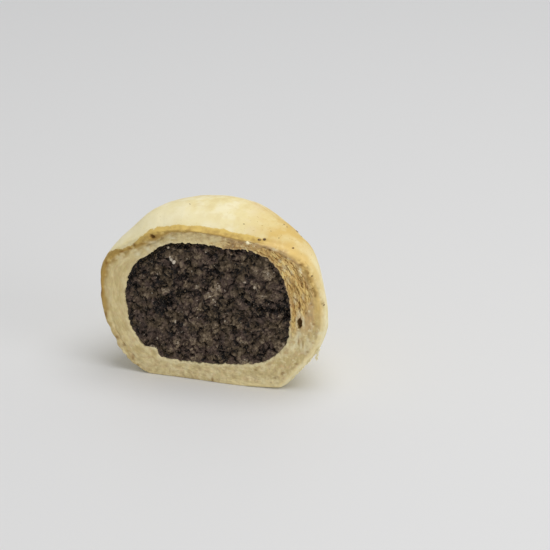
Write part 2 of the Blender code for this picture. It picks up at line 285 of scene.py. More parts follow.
def bun_value(points):
    """Below 1 inside the bun and above 1 outside it."""
    x, y, z = points.T
    direction = np.degrees(np.arctan2(z - BELLY_HEIGHT, x))
    near_cut = bell(y, DENT_DEPTH)
    off_axis = ramp(np.hypot(x, z - BELLY_HEIGHT), 0.0, BACK_CALM * HALF_WIDTH)
    swell = np.ones(len(points))
    for centre, spread, at_cut, at_back in HAND_DENTS:
        amount = at_cut * near_cut + at_back * (1.0 - near_cut) * off_axis
        swell += towards(direction, centre, spread) * amount
    x = x / swell
    rise = (z - BELLY_HEIGHT) / swell

    right = 0.5 * (1.0 + np.tanh(x / SIDE_BLEND))
    shoulder = SHOULDERS[0] * (1.0 - right) + SHOULDERS[1] * right
    foot = FEET[0] * (1.0 - right) + FEET[1] * right
    across = np.abs(x / HALF_WIDTH) ** PLAN_POWER
    along = np.abs(y / HALF_DEPTH) ** PLAN_POWER
    plan = (across + along) ** (1.0 / PLAN_POWER)

    crown = CROWN_HEIGHT - PRESS * np.exp(-y / PRESS_FADE)
    upper = plan ** shoulder + (np.maximum(rise, 0.0) / (crown - BELLY_HEIGHT)) ** shoulder
    flat = BOTTOM_RADIUS / HALF_WIDTH
    past_flat = np.maximum(plan - flat, 0.0) / (1.0 - flat)
    lower = past_flat ** foot + (np.maximum(-rise, 0.0) / BELLY_HEIGHT) ** FOOT_TURN
    return np.where(rise >= 0.0, upper, lower)


def bun_surface(directions):
    """Where rays from the belly point leave the bun."""
    belly = np.array((0.0, 0.0, BELLY_HEIGHT))
    low = np.zeros(len(directions))
    high = np.full(len(directions), 2.0 * HALF_WIDTH)
    for _ in range(36):
        middle = 0.5 * (low + high)
        inside = bun_value(belly + directions * middle[:, None]) < 1.0
        low = np.where(inside, middle, low)
        high = np.where(inside, high, middle)
    surface = belly + directions * low[:, None]
    surface[:, 2] = np.where(surface[:, 2] < 0.01 * MM, 0.0, surface[:, 2])
    return surface


crown_point = bun_surface(np.array([(0.0, 0.3, 1.0)]) / math.hypot(0.3, 1.0))[0]
print("crown behind the cut, mm:", (crown_point / MM).round(1))

# %% [markdown]
# ## The form of the filling
#
# The filling is a rounded block that leaves a crust of 5 to 9 mm. Its outline in the cut is
# a squared circle whose four corners are not equally full, with three places where crust
# hangs into it. A table of small shifts adds what no curve gives, such as the square notch
# at the lower left. Its back is hidden, and is simply rounded.

# %% The filling's rule
FILLING_CENTRE = (-1.4 * MM, 22.5 * MM)
FILLING_HALF_WIDTH = 22.1 * MM
FILLING_HALF_HEIGHT = 17.6 * MM
FILLING_DEPTH = 21.0 * MM
FILLING_BACK_POWER = 2.3
CORNER_POWERS = ((45.0, 3.2), (135.0, 2.2), (225.0, 2.8), (315.0, 2.65))
CORNER_SPREAD = 40.0
CRUST_INTRUSIONS = ((73.0, 14.4, 1.9 * MM), (225.5, 5.5, 1.1 * MM), (289.0, 28.0, 1.1 * MM))
CRUST_GAP = 0.3 * MM
EDGE_SHIFTS = (
    (0.0, 0.4), (10.0, 0.1), (15.0, -0.4), (27.5, -0.7), (35.0, -0.5), (40.0, -0.15),
    (52.5, 0.0), (58.0, 0.5), (67.5, 0.75), (70.0, 1.1), (75.0, 0.55), (82.5, 0.65),
    (87.5, -0.1), (95.0, -0.5), (112.5, -0.45), (120.0, 0.1), (135.0, -0.1), (142.5, -0.7),
    (147.5, -0.25), (160.0, 0.2), (177.5, 0.3), (185.0, 0.5), (191.0, 0.1), (200.0, 0.4),
    (212.5, 0.2), (220.0, 0.95), (225.0, 0.2), (227.5, 0.35), (230.0, 1.0), (232.5, 1.15),
    (237.5, 0.6), (247.5, 0.15), (257.5, -0.05), (277.5, 0.3), (300.0, 0.25), (310.0, 0.4),
    (330.0, 0.2), (337.5, 0.65), (347.5, 0.1),
)


def filling_radius(direction):
    """Radius of the filling's outline in the cut."""
    weights = [towards(direction, corner, CORNER_SPREAD) for corner, _ in CORNER_POWERS]
    powers = [power for _, power in CORNER_POWERS]
    power = sum(w * p for w, p in zip(weights, powers)) / sum(weights)
    across = np.abs(np.cos(np.radians(direction))) / FILLING_HALF_WIDTH
    up = np.abs(np.sin(np.radians(direction))) / FILLING_HALF_HEIGHT
    radius = (across ** power + up ** power) ** (-1.0 / power)
    for centre, spread, reach in CRUST_INTRUSIONS:
        radius = radius - reach * towards(direction, centre, spread)
    return radius + read_off(EDGE_SHIFTS, direction, 360.0)


def filling_surface(directions, margin):
    """The filling's surface, grown by margin, in the given directions."""
    turn = np.degrees(np.arctan2(directions[:, 2], directions[:, 0]))
    tilt = np.arcsin(np.clip(directions[:, 1], 0.0, 1.0))
    power = 2.0 / FILLING_BACK_POWER
    radius = (filling_radius(turn) + margin) * np.cos(tilt) ** power
    depth = (FILLING_DEPTH + margin) * np.sin(tilt) ** power
    x = FILLING_CENTRE[0] + radius * np.cos(np.radians(turn))
    z = FILLING_CENTRE[1] + radius * np.sin(np.radians(turn))
    return np.column_stack((x, depth, z))


filling_across = filling_radius(np.array((0.0, 180.0))).sum()
print("filling across, mm:", round(filling_across / MM, 1))

# %% [markdown]
# ## The crust
#
# One closed skin of rows: from the middle of the back over the dome to the rim of the cut,
# across the cut, and back inside along the hollow. Rows of a regular grid let every point
# know how deep it lies in the wall and how far round, which both the relief and the colours
# need. The rows crowd towards the rim, where the eye looks.

# %% Lay out the crust's rows
TURNS = 640
SKIN_ROWS = 86
CUT_ROWS = 58
HOLLOW_ROWS = 7
ROW_CROWDING = 1.6

skin_tilt = 0.5 * math.pi * np.linspace(1.0, 0.0, SKIN_ROWS + 1) ** ROW_CROWDING
cut_share = np.linspace(1.0, 0.0, CUT_ROWS + 1)[1:]
hollow_tilt = np.linspace(0.0, 0.5 * math.pi, HOLLOW_ROWS + 1)[1:]
row_tilt = np.concatenate((skin_tilt, np.zeros(CUT_ROWS), hollow_tilt))
row_share = np.concatenate((np.ones(SKIN_ROWS + 1), cut_share, np.zeros(HOLLOW_ROWS)))
row_is_cut = np.concatenate(
    (np.zeros(SKIN_ROWS + 1), np.ones(CUT_ROWS), np.zeros(HOLLOW_ROWS)))
row_is_skin = np.concatenate((np.ones(SKIN_ROWS + 1), np.zeros(CUT_ROWS + HOLLOW_ROWS)))
ROWS = len(row_tilt)

turn_angle = np.arange(TURNS) * (2.0 * math.pi / TURNS)
tilt = np.repeat(row_tilt, TURNS)
share = np.repeat(row_share, TURNS)
is_cut = np.repeat(row_is_cut, TURNS)
is_skin = np.repeat(row_is_skin, TURNS)
turn = np.tile(turn_angle, ROWS)
direction = np.column_stack(
    (np.cos(tilt) * np.cos(turn), np.sin(tilt), np.cos(tilt) * np.sin(turn)))
degrees_round = np.degrees(turn) % 360.0
print("crust grid", ROWS, "rows of", TURNS)

# %% [markdown]
# ## Skin: layers, hand waves and a crumbled edge
#
# The skin was wound on in layers, whose edges circle the dome as low steps, and the hand left
# shallow waves. The lower left edge has crumbled, and the left one is a little rough. A
# table of small shifts brings the outline to the real one. All fades out near the floor.

# %% Shape the skin
SKIN_WAVE = 0.22 * MM
WAVE_SIZE = 9.0 * MM
SWIRL_PITCH = 11.0 * MM
SWIRL_STEP = 0.55 * MM
SWIRL_EDGE = 0.16
SWIRL_WOBBLE = 16.0 * MM
SWIRL_STARTS = (9.0 * MM, 17.0 * MM)
CRUMBLE = 0.9 * MM
CRUMBLE_SIZE = 2.4 * MM
LOWER_LEFT = (214.0, 20.0)
LEFT_ROUGH = 0.20 * MM
LEFT_ROUGH_SIZE = 1.9 * MM
LEFT_SIDE = (172.0, 26.0)
SKIN_SHIFTS = (
    (0.0, -0.25), (10.0, -0.2), (24.0, 0.05), (37.0, -0.12), (48.0, 0.0), (61.0, -0.35),
    (74.0, 0.0), (88.0, -0.1), (100.0, -0.25), (110.0, -0.1), (122.0, -0.5), (134.0, -0.1),
    (150.0, -0.1), (165.0, 0.1), (180.0, 0.12), (195.0, 0.15), (205.0, 0.2), (218.0, 0.3),
    (230.0, -0.1), (248.0, 0.0), (320.0, 0.0), (345.0, 0.3), (355.0, 0.0),
)
SKIN_SEED = Vector((3.1, 7.7, 1.3))
CRUMBLE_SEED = Vector((9.4, 1.2, 8.8))
EDGE_SEED = Vector((5.3, 3.3, 6.1))


def noise_at(places, size, seed):
    """Smooth noise from -1 to 1, whose features are about size across."""
    return np.array([noise.noise(Vector(place) / size + seed) for place in places])


outside = bun_surface(direction)
inside = filling_surface(direction, CRUST_GAP)
wall = np.linalg.norm(outside - inside, axis=1)
from_skin = (1.0 - share) * wall
from_filling = share * wall
place = inside + (outside - inside) * share[:, None]

out_x, out_y, out_z = outside.T
off_floor = ramp(out_z, 1.0 * MM, 6.0 * MM)
behind_cut = ramp(out_y, *SWIRL_STARTS)
down = np.hypot(out_x, out_y) + (CROWN_HEIGHT - out_z)
azimuth = np.arctan2(out_y, out_x)
wobble = noise_at(outside, SWIRL_WOBBLE, SKIN_SEED)
winding = down / SWIRL_PITCH + azimuth / (2.0 * math.pi) + 0.5 * wobble
layer = winding % 1.0
layer_edge = layer - ramp(layer, 1.0 - SWIRL_EDGE, 1.0)
swirl = (layer_edge - 0.5) * SWIRL_STEP * behind_cut * ramp(1.0 - direction[:, 1], 0.0, 0.1)
waves = SKIN_WAVE * noise_at(outside, WAVE_SIZE, SKIN_SEED)
lower_left = towards(degrees_round, *LOWER_LEFT) * (1.0 - ramp(out_y, 0.0, 4.0 * MM))
crumbled = -CRUMBLE * lower_left * np.abs(noise_at(outside, CRUMBLE_SIZE, CRUMBLE_SEED))
left_side = towards(degrees_round, *LEFT_SIDE) * (1.0 - ramp(out_y, 1.0 * MM, 6.0 * MM))
crumbled -= LEFT_ROUGH * left_side * (0.5 + noise_at(outside, LEFT_ROUGH_SIZE, EDGE_SEED))
stand_out = (swirl + waves) * off_floor + crumbled * ramp(out_z, 0.2 * MM, 2.0 * MM)
shifted = read_off(SKIN_SHIFTS, degrees_round, 360.0)
stand_out += shifted * (1.0 - direction[:, 1] ** 2) * ramp(out_z, 0.0, 3.0 * MM)
place += direction * (stand_out * ramp(share, 0.7, 1.0))[:, None]
wall_of_cut = wall[is_cut > 0] / MM
print("wall, mm:", wall_of_cut.min().round(1), "to", wall_of_cut.max().round(1))

# %% [markdown]
# ## Cut: rounded edge, lip and crease
#
# The knife drew the skin over the cut. On the right it left a broad rounded edge; over the
# top and left it left a lip of skin above a dark crease, thickest at the upper left. The
# inner edge, against the filling, is ragged and slightly worn.

# %% Shape the cut
NARROW_EDGE = 0.35 * MM
BROAD_EDGE = 2.0 * MM
BROAD_ARC = (-70.0, -48.0, 44.0, 66.0)
LEFT_EDGE = 0.35 * MM
LEFT_EDGE_SIDE = (180.0, 22.0)
FOOT_BULGE = 0.6 * MM
BULGE_SIDE = (287.0, 26.0)
BULGE_HEIGHT = 5.0 * MM
LIP_ARC = (48.0, 62.0, 176.0, 192.0)
LIP_STAND = 0.55 * MM
LIP_THICKNESS = (
    (52.0, 0.6), (64.0, 0.7), (82.0, 0.6), (98.0, 0.9), (110.0, 1.2), (119.0, 1.6), (127.0, 3.0),
    (138.0, 3.4), (147.0, 3.1), (155.0, 1.8), (172.0, 1.3),
)
BAND_REACH = (
    (-20.0, 0.2), (20.0, 0.5), (44.0, 1.3), (82.0, 1.2), (98.0, 0.8), (118.0, 0.6), (129.0, 0.5),
    (136.0, -0.2), (141.0, -0.9), (145.5, -1.6), (149.5, -1.4), (152.5, -0.2), (156.0, 0.3),
    (186.0, 0.3), (230.0, 0.2),
)
BAND_FORESHORTENING = 1.3
CREASE_DEPTH = 0.38 * MM
CREASE_WIDTH = 0.34 * MM
INNER_ROUNDING = 0.35 * MM
RAGGED = 0.34 * MM
FLAP_LINE = 1.7 * MM
FLAP_ARC = (192.0, 200.0, 220.0, 228.0)
FLAP_DEPTH = 0.25 * MM
FLAP_WIDTH = 0.25 * MM


def rim_noise(size, seed):
    """Noise that changes round the cut, but not across its wall."""
    return noise_at(outside * [1.0, 0.0, 1.0], size, seed)


side = wrapped(degrees_round, 0.0)
broad = between(side, *BROAD_ARC)
left_edge = LEFT_EDGE * towards(degrees_round, *LEFT_EDGE_SIDE)
uneven = 1.0 + 0.25 * rim_noise(4.0 * MM, EDGE_SEED)
edge_radius = (NARROW_EDGE + (BROAD_EDGE - NARROW_EDGE) * broad + left_edge) * uneven
inward = np.maximum(edge_radius - from_skin, 0.0)
recess = edge_radius - np.sqrt(np.maximum(edge_radius ** 2 - inward ** 2, 0.0))
worn = np.maximum(INNER_ROUNDING - from_filling, 0.0)
recess += worn ** 2 / INNER_ROUNDING
rounded_by = edge_radius / MM
print("edge rounded by, mm:", rounded_by.min().round(2), "to", rounded_by.max().round(2))

# %% Lay the lip over the cut
top = between(degrees_round, *LIP_ARC)
lip_size = read_off(LIP_THICKNESS, degrees_round)
lip_size = lip_size * (1.0 + 0.12 * rim_noise(3.0 * MM, SKIN_SEED))
lip_across = np.clip(from_skin / lip_size, 0.0, 2.0)
to_right = 0.25 + 0.75 * ramp(degrees_round, 66.0, 96.0)
lip_front = np.minimum(lip_across, 0.5)
lip = np.sqrt(4.0 * lip_front * (1.0 - lip_front)) * (1.0 - ramp(lip_across, 0.5, 1.15))
lip *= top * to_right
crease = top * to_right * bell(from_skin - lip_size - 0.8 * CREASE_WIDTH, CREASE_WIDTH)
broken = ramp(rim_noise(2.0 * MM, EDGE_SEED), -0.25, 0.35)
crease *= (0.15 + 0.85 * broken) * (1.0 - 0.8 * ramp(degrees_round, 146.0, 166.0))
flap_line = FLAP_LINE * (1.0 + 0.3 * rim_noise(2.5 * MM, CRUMBLE_SEED))
flap = between(degrees_round, *FLAP_ARC) * bell(from_skin - flap_line, FLAP_WIDTH)
behind_rim = np.hypot(out_y, edge_radius) - edge_radius
reach_out = read_off(BAND_REACH, wrapped(degrees_round, 90.0) + 90.0)
inset = np.where(is_skin > 0, -BAND_FORESHORTENING * behind_rim, from_skin) + reach_out
band_depth = np.clip(inset / (lip_size + reach_out), 0.0, 2.0)
band = top * (1.0 - ramp(band_depth, 0.80, 1.20))
print("lip, mm:", (lip_size / MM).min().round(1), "to", (lip_size / MM).max().round(1))

# %% Move the cut's points
steady = ramp(place[:, 2], 0.0, 0.5 * MM)
forward = lip * LIP_STAND - crease * CREASE_DEPTH - flap * FLAP_DEPTH
place[:, 1] = np.where(is_skin > 0, np.hypot(place[:, 1], edge_radius), place[:, 1])
place[:, 1] += is_cut * (recess - forward * steady)
at_foot = (1.0 - ramp(place[:, 2], 0.0, BULGE_HEIGHT)) * bell(place[:, 1], BULGE_HEIGHT)
bulge = FOOT_BULGE * towards(degrees_round, *BULGE_SIDE) * at_foot
place[:, 1] -= (is_cut + is_skin) * bulge
print("furthest forward, mm:", (place[:, 1].min() / MM).round(2))

# %% Fray the edge against the filling
ragged = RAGGED * rim_noise(1.1 * MM, CRUMBLE_SEED)
ragged += 0.5 * RAGGED * rim_noise(0.5 * MM, EDGE_SEED)
ragged += 0.9 * RAGGED * rim_noise(2.8 * MM, SKIN_SEED)
hang_in = np.minimum(ragged, 0.8 * RAGGED) * bell(from_filling, 0.5 * MM) * is_cut
to_middle = (inside - outside) / np.maximum(wall, 0.1 * MM)[:, None]
place += to_middle * hang_in[:, None]
print("frayed by up to, mm:", (np.abs(hang_in).max() / MM).round(2))

# %% [markdown]
# ## Ease the broad edge
#
# Where the rounded edge of the cut meets the pressed skin, the two curves would meet in a
# fine groove. Each column of points is relaxed there, a little at a time, as a hand would rub
# the edge smooth: widely at the right, and only close to the rim over the lip. The lower right
# corner, where the side meets the flat bottom, is relaxed along the outline in the same way.

# %% Relax the edge
EASED_BEFORE = 20
EASED_AFTER = 10
LIP_EASED_AFTER = 4
EASING_STEPS = 36
LIP_EASING = 0.8
CORNER_STEPS = 24
CORNER_HEIGHT = 2.2 * MM
CORNER_PLACE = (8.0 * MM, 14.0 * MM)

columns = place.reshape(ROWS, TURNS, 3)
first = SKIN_ROWS - EASED_BEFORE
last = SKIN_ROWS + EASED_AFTER
fade = np.sin(np.linspace(0.0, math.pi, last - first)) ** 0.5
eased_row = np.arange(last - first) < EASED_BEFORE + LIP_EASED_AFTER
at_lip = LIP_EASING * top.reshape(ROWS, TURNS)[:1] * eased_row[:, None]
easing = np.maximum(broad.reshape(ROWS, TURNS)[:1], at_lip)[:, :, None]
easing = 0.5 * fade[:, None, None] * easing
easing = easing * ramp(columns[first:last, :, 2:], 0.0, 1.5 * MM)
for _ in range(EASING_STEPS):
    middle = 0.5 * (columns[first - 1:last - 1] + columns[first + 1:last + 1])
    columns[first:last] += easing * (middle - columns[first:last])
at_corner = bell(columns[:, :, 2:], CORNER_HEIGHT) * ramp(columns[:, :, :1], *CORNER_PLACE)
at_corner[0] = 0.0
at_corner[SKIN_ROWS + CUT_ROWS // 2:] = 0.0
for _ in range(CORNER_STEPS):
    beside = 0.5 * (np.roll(columns, 1, axis=1) + np.roll(columns, -1, axis=1))
    columns += 0.5 * at_corner * (beside - columns)
columns[:, :, 2] = np.maximum(columns[:, :, 2], 0.0)
place = columns.reshape(-1, 3)
print("eased", last - first, "rows and the lower right corner")

# %% [markdown]
# ## Marks on the cut
#
# Some things sit in one known place: the small air pocket, the hole under the lip, dark
# crumbs baked into the layers, pale broken bits. Each is given as a picture point, with half
# its width and half its height in mm, and becomes a soft ragged spot of colour. Dark marks
# over the holes and between pale slivers are painted shade. A hole also has a depth in mm,
# and is pushed in. Noise alone would put these things anywhere.

# %% Place the marks
# Dark marks are dark crumbs in the layers; those over the holes, and the thin upright ones between
# the pale slivers at the lower right, are painted shade.
DARK_MARKS_AND_SHADOWS = (
    (153, 236, 1.0, 0.7), (134, 244, 0.8, 0.5), (130, 248, 0.5, 0.4), (142, 243, 0.6, 0.3),
    (122, 251, 0.6, 0.4), (107, 262, 0.4, 1.2), (102, 292, 0.4, 1.2), (106, 314, 0.3, 1.1),
    (117, 337, 0.7, 0.5), (124, 345, 0.5, 0.5), (133, 357, 0.4, 0.8), (138, 365, 0.5, 0.3),
    (260, 240, 1.0, 0.3), (265, 248, 0.5, 0.3), (269.5, 250, 0.7, 0.4), (286, 258, 0.3, 0.5),
    (300.5, 265.5, 0.7, 0.6), (308, 276, 0.2, 0.5), (302, 279, 0.3, 0.4), (295, 286, 0.4, 0.4),
    (297, 290, 0.4, 0.5), (291, 290, 0.3, 0.5), (299, 310, 0.5, 0.35), (306, 313, 0.4, 0.5),
    (293, 322, 0.4, 0.5), (314, 324, 0.4, 0.3), (323, 305, 0.5, 0.3), (282, 374, 0.4, 0.4),
    (256, 370, 0.4, 0.2), (275, 378, 0.4, 0.2), (296, 364, 0.4, 0.2), (213, 379, 0.3, 0.7),
    (298.6, 341, 0.18, 1.2), (303, 344, 0.2, 0.9), (307, 352, 0.3, 0.3), (283, 373, 0.5, 0.4),
    (315, 296, 0.3, 0.4), (311, 304, 0.3, 0.3),
)
PALE_MARKS = (
    (248, 242.5, 0.8, 0.35), (285, 268, 0.8, 0.9), (291, 273, 0.5, 0.8), (288, 281, 0.4, 0.8),
    (300, 271, 0.3, 1.0), (298, 336, 0.5, 1.1), (320, 334, 0.7, 0.5), (303, 298, 0.3, 1.0),
    (295, 300, 0.5, 1.3), (280, 262, 0.6, 0.5), (154, 347, 1.0, 0.5), (296, 346, 0.7, 0.4),
    (300, 369, 0.8, 0.8), (172, 238, 1.0, 0.3), (128, 295, 0.3, 2.5), (299.5, 313, 0.6, 0.9),
    (303.2, 321, 0.35, 1.4), (296.6, 321, 0.3, 1.2), (299, 334, 0.7, 1.0),
    (296.5, 343, 0.25, 1.3), (301, 346, 0.25, 1.1), (305, 349, 0.3, 0.9), (308, 340, 0.35, 0.5),
    (154, 243, 1.6, 0.5), (138, 254, 0.8, 0.6), (148, 249, 0.7, 0.7),
)
POCKET_RIM = ((299.7, 323, 1.1, 2.6), (299.0, 338, 1.3, 1.6))
HOLES = (
    (299.4, 324, 0.55, 1.40, 2.2), (153, 236, 0.55, 0.40, 0.8), (300, 266, 0.5, 0.35, 0.3),
    (297, 289, 0.35, 0.6, 0.4), (134, 245, 0.5, 0.3, 0.4), (269, 250, 0.5, 0.25, 0.3),
)
MARK_SEED = Vector((1.7, 8.2, 2.9))


def from_mark(points, mark, ragged_by):
    """Distance from a mark's middle, which is 1 on its ragged edge, for points on the cut."""
    picture_x, picture_y, half_width, half_height = mark[:4]
    x, z = place_on_cut(picture_x, picture_y)
    across = (points[:, 0] - x) / (half_width * MM)
    up = (points[:, 2] - z) / (half_height * MM)
    return np.hypot(across, up) * ragged_by


def marked(points, marks, ragged_by, steep=False):
    """The strongest of the marks at each point. A fifth number is a mark's strength."""
    value = np.zeros(len(points))
    for mark in marks:
        distance = from_mark(points, mark, ragged_by)
        within = 1.0 - ramp(distance, 0.75, 1.35) if steep else bell(distance, 1.0)
        strength = mark[4] if len(mark) > 4 else 1.0
        value = np.maximum(value, strength * within)
    return value


ragged_by = 1.0 + 0.35 * noise_at(place, 0.7 * MM, MARK_SEED)
dark_marks_and_shadows = marked(place, DARK_MARKS_AND_SHADOWS, ragged_by)
pale_marks = marked(place, PALE_MARKS, ragged_by)
sunk = marked(place, HOLES, ragged_by, steep=True)
place[:, 1] += is_cut * sunk * MM
print(len(DARK_MARKS_AND_SHADOWS), "dark marks,", len(PALE_MARKS), "pale marks,", len(HOLES), "holes")

# %% [markdown]
# ## From rows to a mesh
#
# The first and last rows shrink to single points, the middle of the back and the middle of
# the hollow, so that the mesh closes. Every other pair of rows is joined by quads.

# %% Join the crust's rows


def pairs(ring):
    """Each point of a closed ring with the point after it."""
    return zip(ring, ring[1:] + ring[:1])


def strip(ring, far_ring):
    """Quads that join two closed rings."""
    steps = zip(pairs(ring), pairs(far_ring))
    return [(here, after, far_after, far) for (here, after), (far, far_after) in steps]


def ring_faces(rows, turns):
    """Faces of a closed grid whose first and last rows are single points."""
    rings = [list(range(1 + row * turns, 1 + (row + 1) * turns)) for row in range(rows - 2)]
    faces = [(0, after, here) for here, after in pairs(rings[0])]
    for ring, far_ring in zip(rings[:-1], rings[1:]):
        faces += strip(ring, far_ring)
    last = 1 + (rows - 2) * turns
    return faces + [(last, here, after) for here, after in pairs(rings[-1])]


def closed_rows(values):
    """The values with the first and last row cut to one point each."""
    return np.concatenate((values[:1], values[TURNS:-TURNS], values[-1:]))


def make_mesh(name, points, faces):
    """A mesh object at the origin, with its points given from the middle of the cut."""
    mesh = bpy.data.meshes.new(name)
    mesh.from_pydata((points + np.array(CUT_MIDDLE)).tolist(), [], faces)
    mesh.update()
    return new_object(name, mesh)


def remember(thing, name, values):
    """Keep a number or a vector for every point of a mesh."""
    values = np.asarray(values, dtype=np.float32)
    kind, key = ("FLOAT", "value") if values.ndim == 1 else ("FLOAT_VECTOR", "vector")
    attribute = thing.data.attributes.new(name, kind, "POINT")
    attribute.data.foreach_set(key, values.ravel())


crust = make_mesh("crust_dressed", closed_rows(place), ring_faces(ROWS, TURNS))
print("crust", len(crust.data.vertices), "points")

# %% [markdown]
# ## What each point of the crust knows
#
# The right wall is loose and flaky between the filling and the smooth rounded edge, and less
# so over the top. Each point keeps how flaky its place is, how golden, how deep it lies, and
# a place counted along the layers, so that noise can run with them. These could be painted
# by hand, but stretches given by angle and depth stay right when the form changes.

# %% Stretches of the cut
ROUND_WALL = 28.0 * MM
# Each stretch starts, is full, fades and ends at an angle round the cut, from the right.
ARCS = {
    "flaky": (-16.0, -4.0, 78.0, 96.0),
    "golden": (-12.0, 8.0, 60.0, 84.0),
    "rosy": (-16.0, -2.0, 66.0, 124.0),
    "toasted": (-14.0, 10.0, 72.0, 96.0),
    "painted_highlight": (-92.0, -70.0, -5.0, 10.0),
    "highlight_over_lip": (70.0, 95.0, 146.0, 166.0),
    "painted_light_under_lip": (68.0, 90.0, 102.0, 130.0),
}
FLAKY_REACH = ((-16.0, 2.0), (-4.0, 2.8), (8.0, 4.2), (18.0, 9.0))
FLAKY_FROM = ((-16.0, 3.2), (0.0, 3.0), (18.0, 2.2), (32.0, 1.8), (45.0, 1.6), (70.0, 1.0))
GOLD_TO = ((-14.0, 2.6), (5.0, 2.6), (17.0, 1.9), (31.0, 1.3), (39.0, 0.4), (50.0, 0.1))
AMBER_AT = ((16.0, 2.2), (22.0, 1.8), (28.0, 1.0), (33.0, 0.5), (36.0, 1.5), (42.0, 2.0))
OLD_GOLD_TO = ((140.0, 3.6), (152.0, 3.0), (166.0, 1.3), (180.0, 0.8))
CALM_SIDE = (178.0, 42.0)


def arc(name):
    """1 along one stretch of the cut's outline, in degrees from the right."""
    return between(side, *ARCS[name])


print("arcs:", ", ".join(ARCS))

# %% Flaky, toasted and golden places in the cut
frayed = from_skin + 0.8 * MM * rim_noise(1.6 * MM, MARK_SEED)
flaky_reach = read_off(FLAKY_REACH, side)
flaky_from = read_off(FLAKY_FROM, side)
flaky = arc("flaky") * (1.0 - 0.6 * ramp(side, 46.0, 58.0))
flaky *= 1.0 - ramp(from_filling, flaky_reach, flaky_reach + 1.2 * MM)
flaky *= ramp(frayed, flaky_from, flaky_from + 1.8 * MM)
flaky *= ramp(from_filling, 0.1 * MM, 0.7 * MM)
around_pocket = np.min([from_mark(place, mark, 1.0) for mark in POCKET_RIM], axis=0)
flaky *= ramp(around_pocket, 0.8, 1.4)

gold_to = read_off(GOLD_TO, side)
near_edge = ramp(from_skin, 0.4 * MM, 1.6 * MM)
near_edge = near_edge + (1.0 - near_edge) * ramp(side, 14.0, 34.0)
golden = arc("golden") * near_edge * (1.0 - ramp(frayed, gold_to, gold_to + 1.3 * MM))
rosy = arc("rosy") * ramp(frayed, gold_to, gold_to + 1.0 * MM)
toasted = arc("toasted") * ramp(frayed, gold_to, gold_to + 1.2 * MM)
amber = bell(frayed - read_off(AMBER_AT, side), 0.8 * MM) * ramp(side, 10.0, 18.0)
amber *= 1.0 - 0.6 * ramp(side, 29.0, 35.0) - 0.4 * ramp(side, 42.0, 50.0)
below_lip = ramp(from_skin, lip_size, lip_size + 0.5 * MM) * is_cut
# Painted shade: a darker mottled band just below the lip, to the right of the top.
shade_below_lip = bell(side - 70.0, 13.0) * below_lip
# Painted light: the dough just below the lip at the top is made paler, against the shade the lip
# casts there.
painted_light_under_lip = arc("painted_light_under_lip") * below_lip
old_gold = ramp(degrees_round, 140.0, 150.0) * (1.0 - ramp(degrees_round, 222.0, 236.0))
old_gold *= 1.0 - 0.6 * ramp(degrees_round, 186.0, 200.0)
old_gold_to = read_off(OLD_GOLD_TO, degrees_round)
old_gold *= 1.0 - ramp(frayed, old_gold_to, old_gold_to + 1.5 * MM)
print("flaky part of the cut:", round(float((flaky * is_cut).sum() / is_cut.sum()), 2))

# %% Golden places of the skin, and painted highlights on the skin and the rim
skin_gold = ramp(out_x, 3.0 * MM, 19.0 * MM) * ramp(out_z, 24.0 * MM, 38.0 * MM)
# Gold is held back along the right outline, which leaves a paler band there as a painted
# highlight.
far_right = ramp(out_x, 22.0 * MM, 28.0 * MM)
skin_gold *= 1.0 - 0.6 * far_right * ramp(out_y, -1.0 * MM, 5.0 * MM)
# Painted highlights: a paler band along the lower right rim of the cut, and pale patches on the
# skin's right shoulder, over the lip and on the left of the dome, where light catches them.
painted_highlight = arc("painted_highlight") * (1.0 - ramp(from_skin, 1.2 * MM, 2.0 * MM)) * is_cut
shoulder = bell(side - 27.0, 15.0) * bell(out_y - 3.4 * MM, 2.3 * MM)
highlight_over_lip = arc("highlight_over_lip") * bell(out_y - 3.0 * MM, 3.0 * MM)
highlight_left = ramp(-out_x, 4.0 * MM, 16.0 * MM)
highlight_patches = 1.0 + 0.6 * noise_at(outside, 4.0 * MM, MARK_SEED)
painted_highlight += is_skin * (0.5 * shoulder + 0.45 * highlight_over_lip + 0.4 * highlight_left) * highlight_patches
print("golden part of the skin:", round(float((skin_gold * is_skin).sum() / is_skin.sum()), 2))

# %% Keep the values on the crust
calm = towards(degrees_round, *CALM_SIDE)
skin_layers = np.column_stack((np.cos(azimuth), np.sin(azimuth), down / HALF_WIDTH)) * HALF_WIDTH
cut_layers = np.column_stack((np.cos(turn), np.sin(turn), from_skin / ROUND_WALL)) * ROUND_WALL
crust_values = {
    "layers": cut_layers,
    "skin_layers": skin_layers,
    "rough": is_cut * ramp(from_skin, 0.05 * MM, 0.9 * MM) * (1.45 - 0.85 * calm),
    "calm": calm,
    "toasted": toasted * is_cut,
    "painted_highlight": painted_highlight,
    "amber": amber * is_cut,
    "shade_below_lip": shade_below_lip,
    "painted_light_under_lip": painted_light_under_lip,
    "old_gold": old_gold * is_cut,
    "on_cut": is_cut,
    "inset": inset / MM,
    "softness": 1.0 + 3.0 * broad,
    "band": band,
    "band_depth": band_depth,
    "from_filling": from_filling / MM,
    "flaky": flaky * is_cut,
    "golden": golden,
    "rosy": rosy * is_cut,
    "skin_gold": skin_gold,
    "crease": np.maximum(crease, 0.35 * flap) * is_cut,
    "dark_marks_and_shadows": dark_marks_and_shadows * is_cut,
    "pale_marks": pale_marks * is_cut,
    "sunk": sunk * is_cut,
    "winding": winding,
    "behind": behind_cut,
    "steady": ramp(place[:, 2], 0.0, 0.8 * MM) * ramp(from_filling, -0.1 * MM, 0.3 * MM),
    "lay": -turn - 0.5 * math.pi,
}
for name, values in crust_values.items():
    remember(crust, name, closed_rows(values))
print("kept", len(crust_values), "values for each point")

# %% [markdown]
# ## Fine relief by Geometry Nodes
#
# Layered dough is finely grained, with thin lines along the wall. Where it is flaky it breaks
# into small terraces with gaps between them. A sculpting brush could do it by hand. A small
# node tree does it by rule, moving each point along its normal by noise that is stretched
# along the wall, with heights and sizes as named inputs.

# %% Helpers for geometry trees


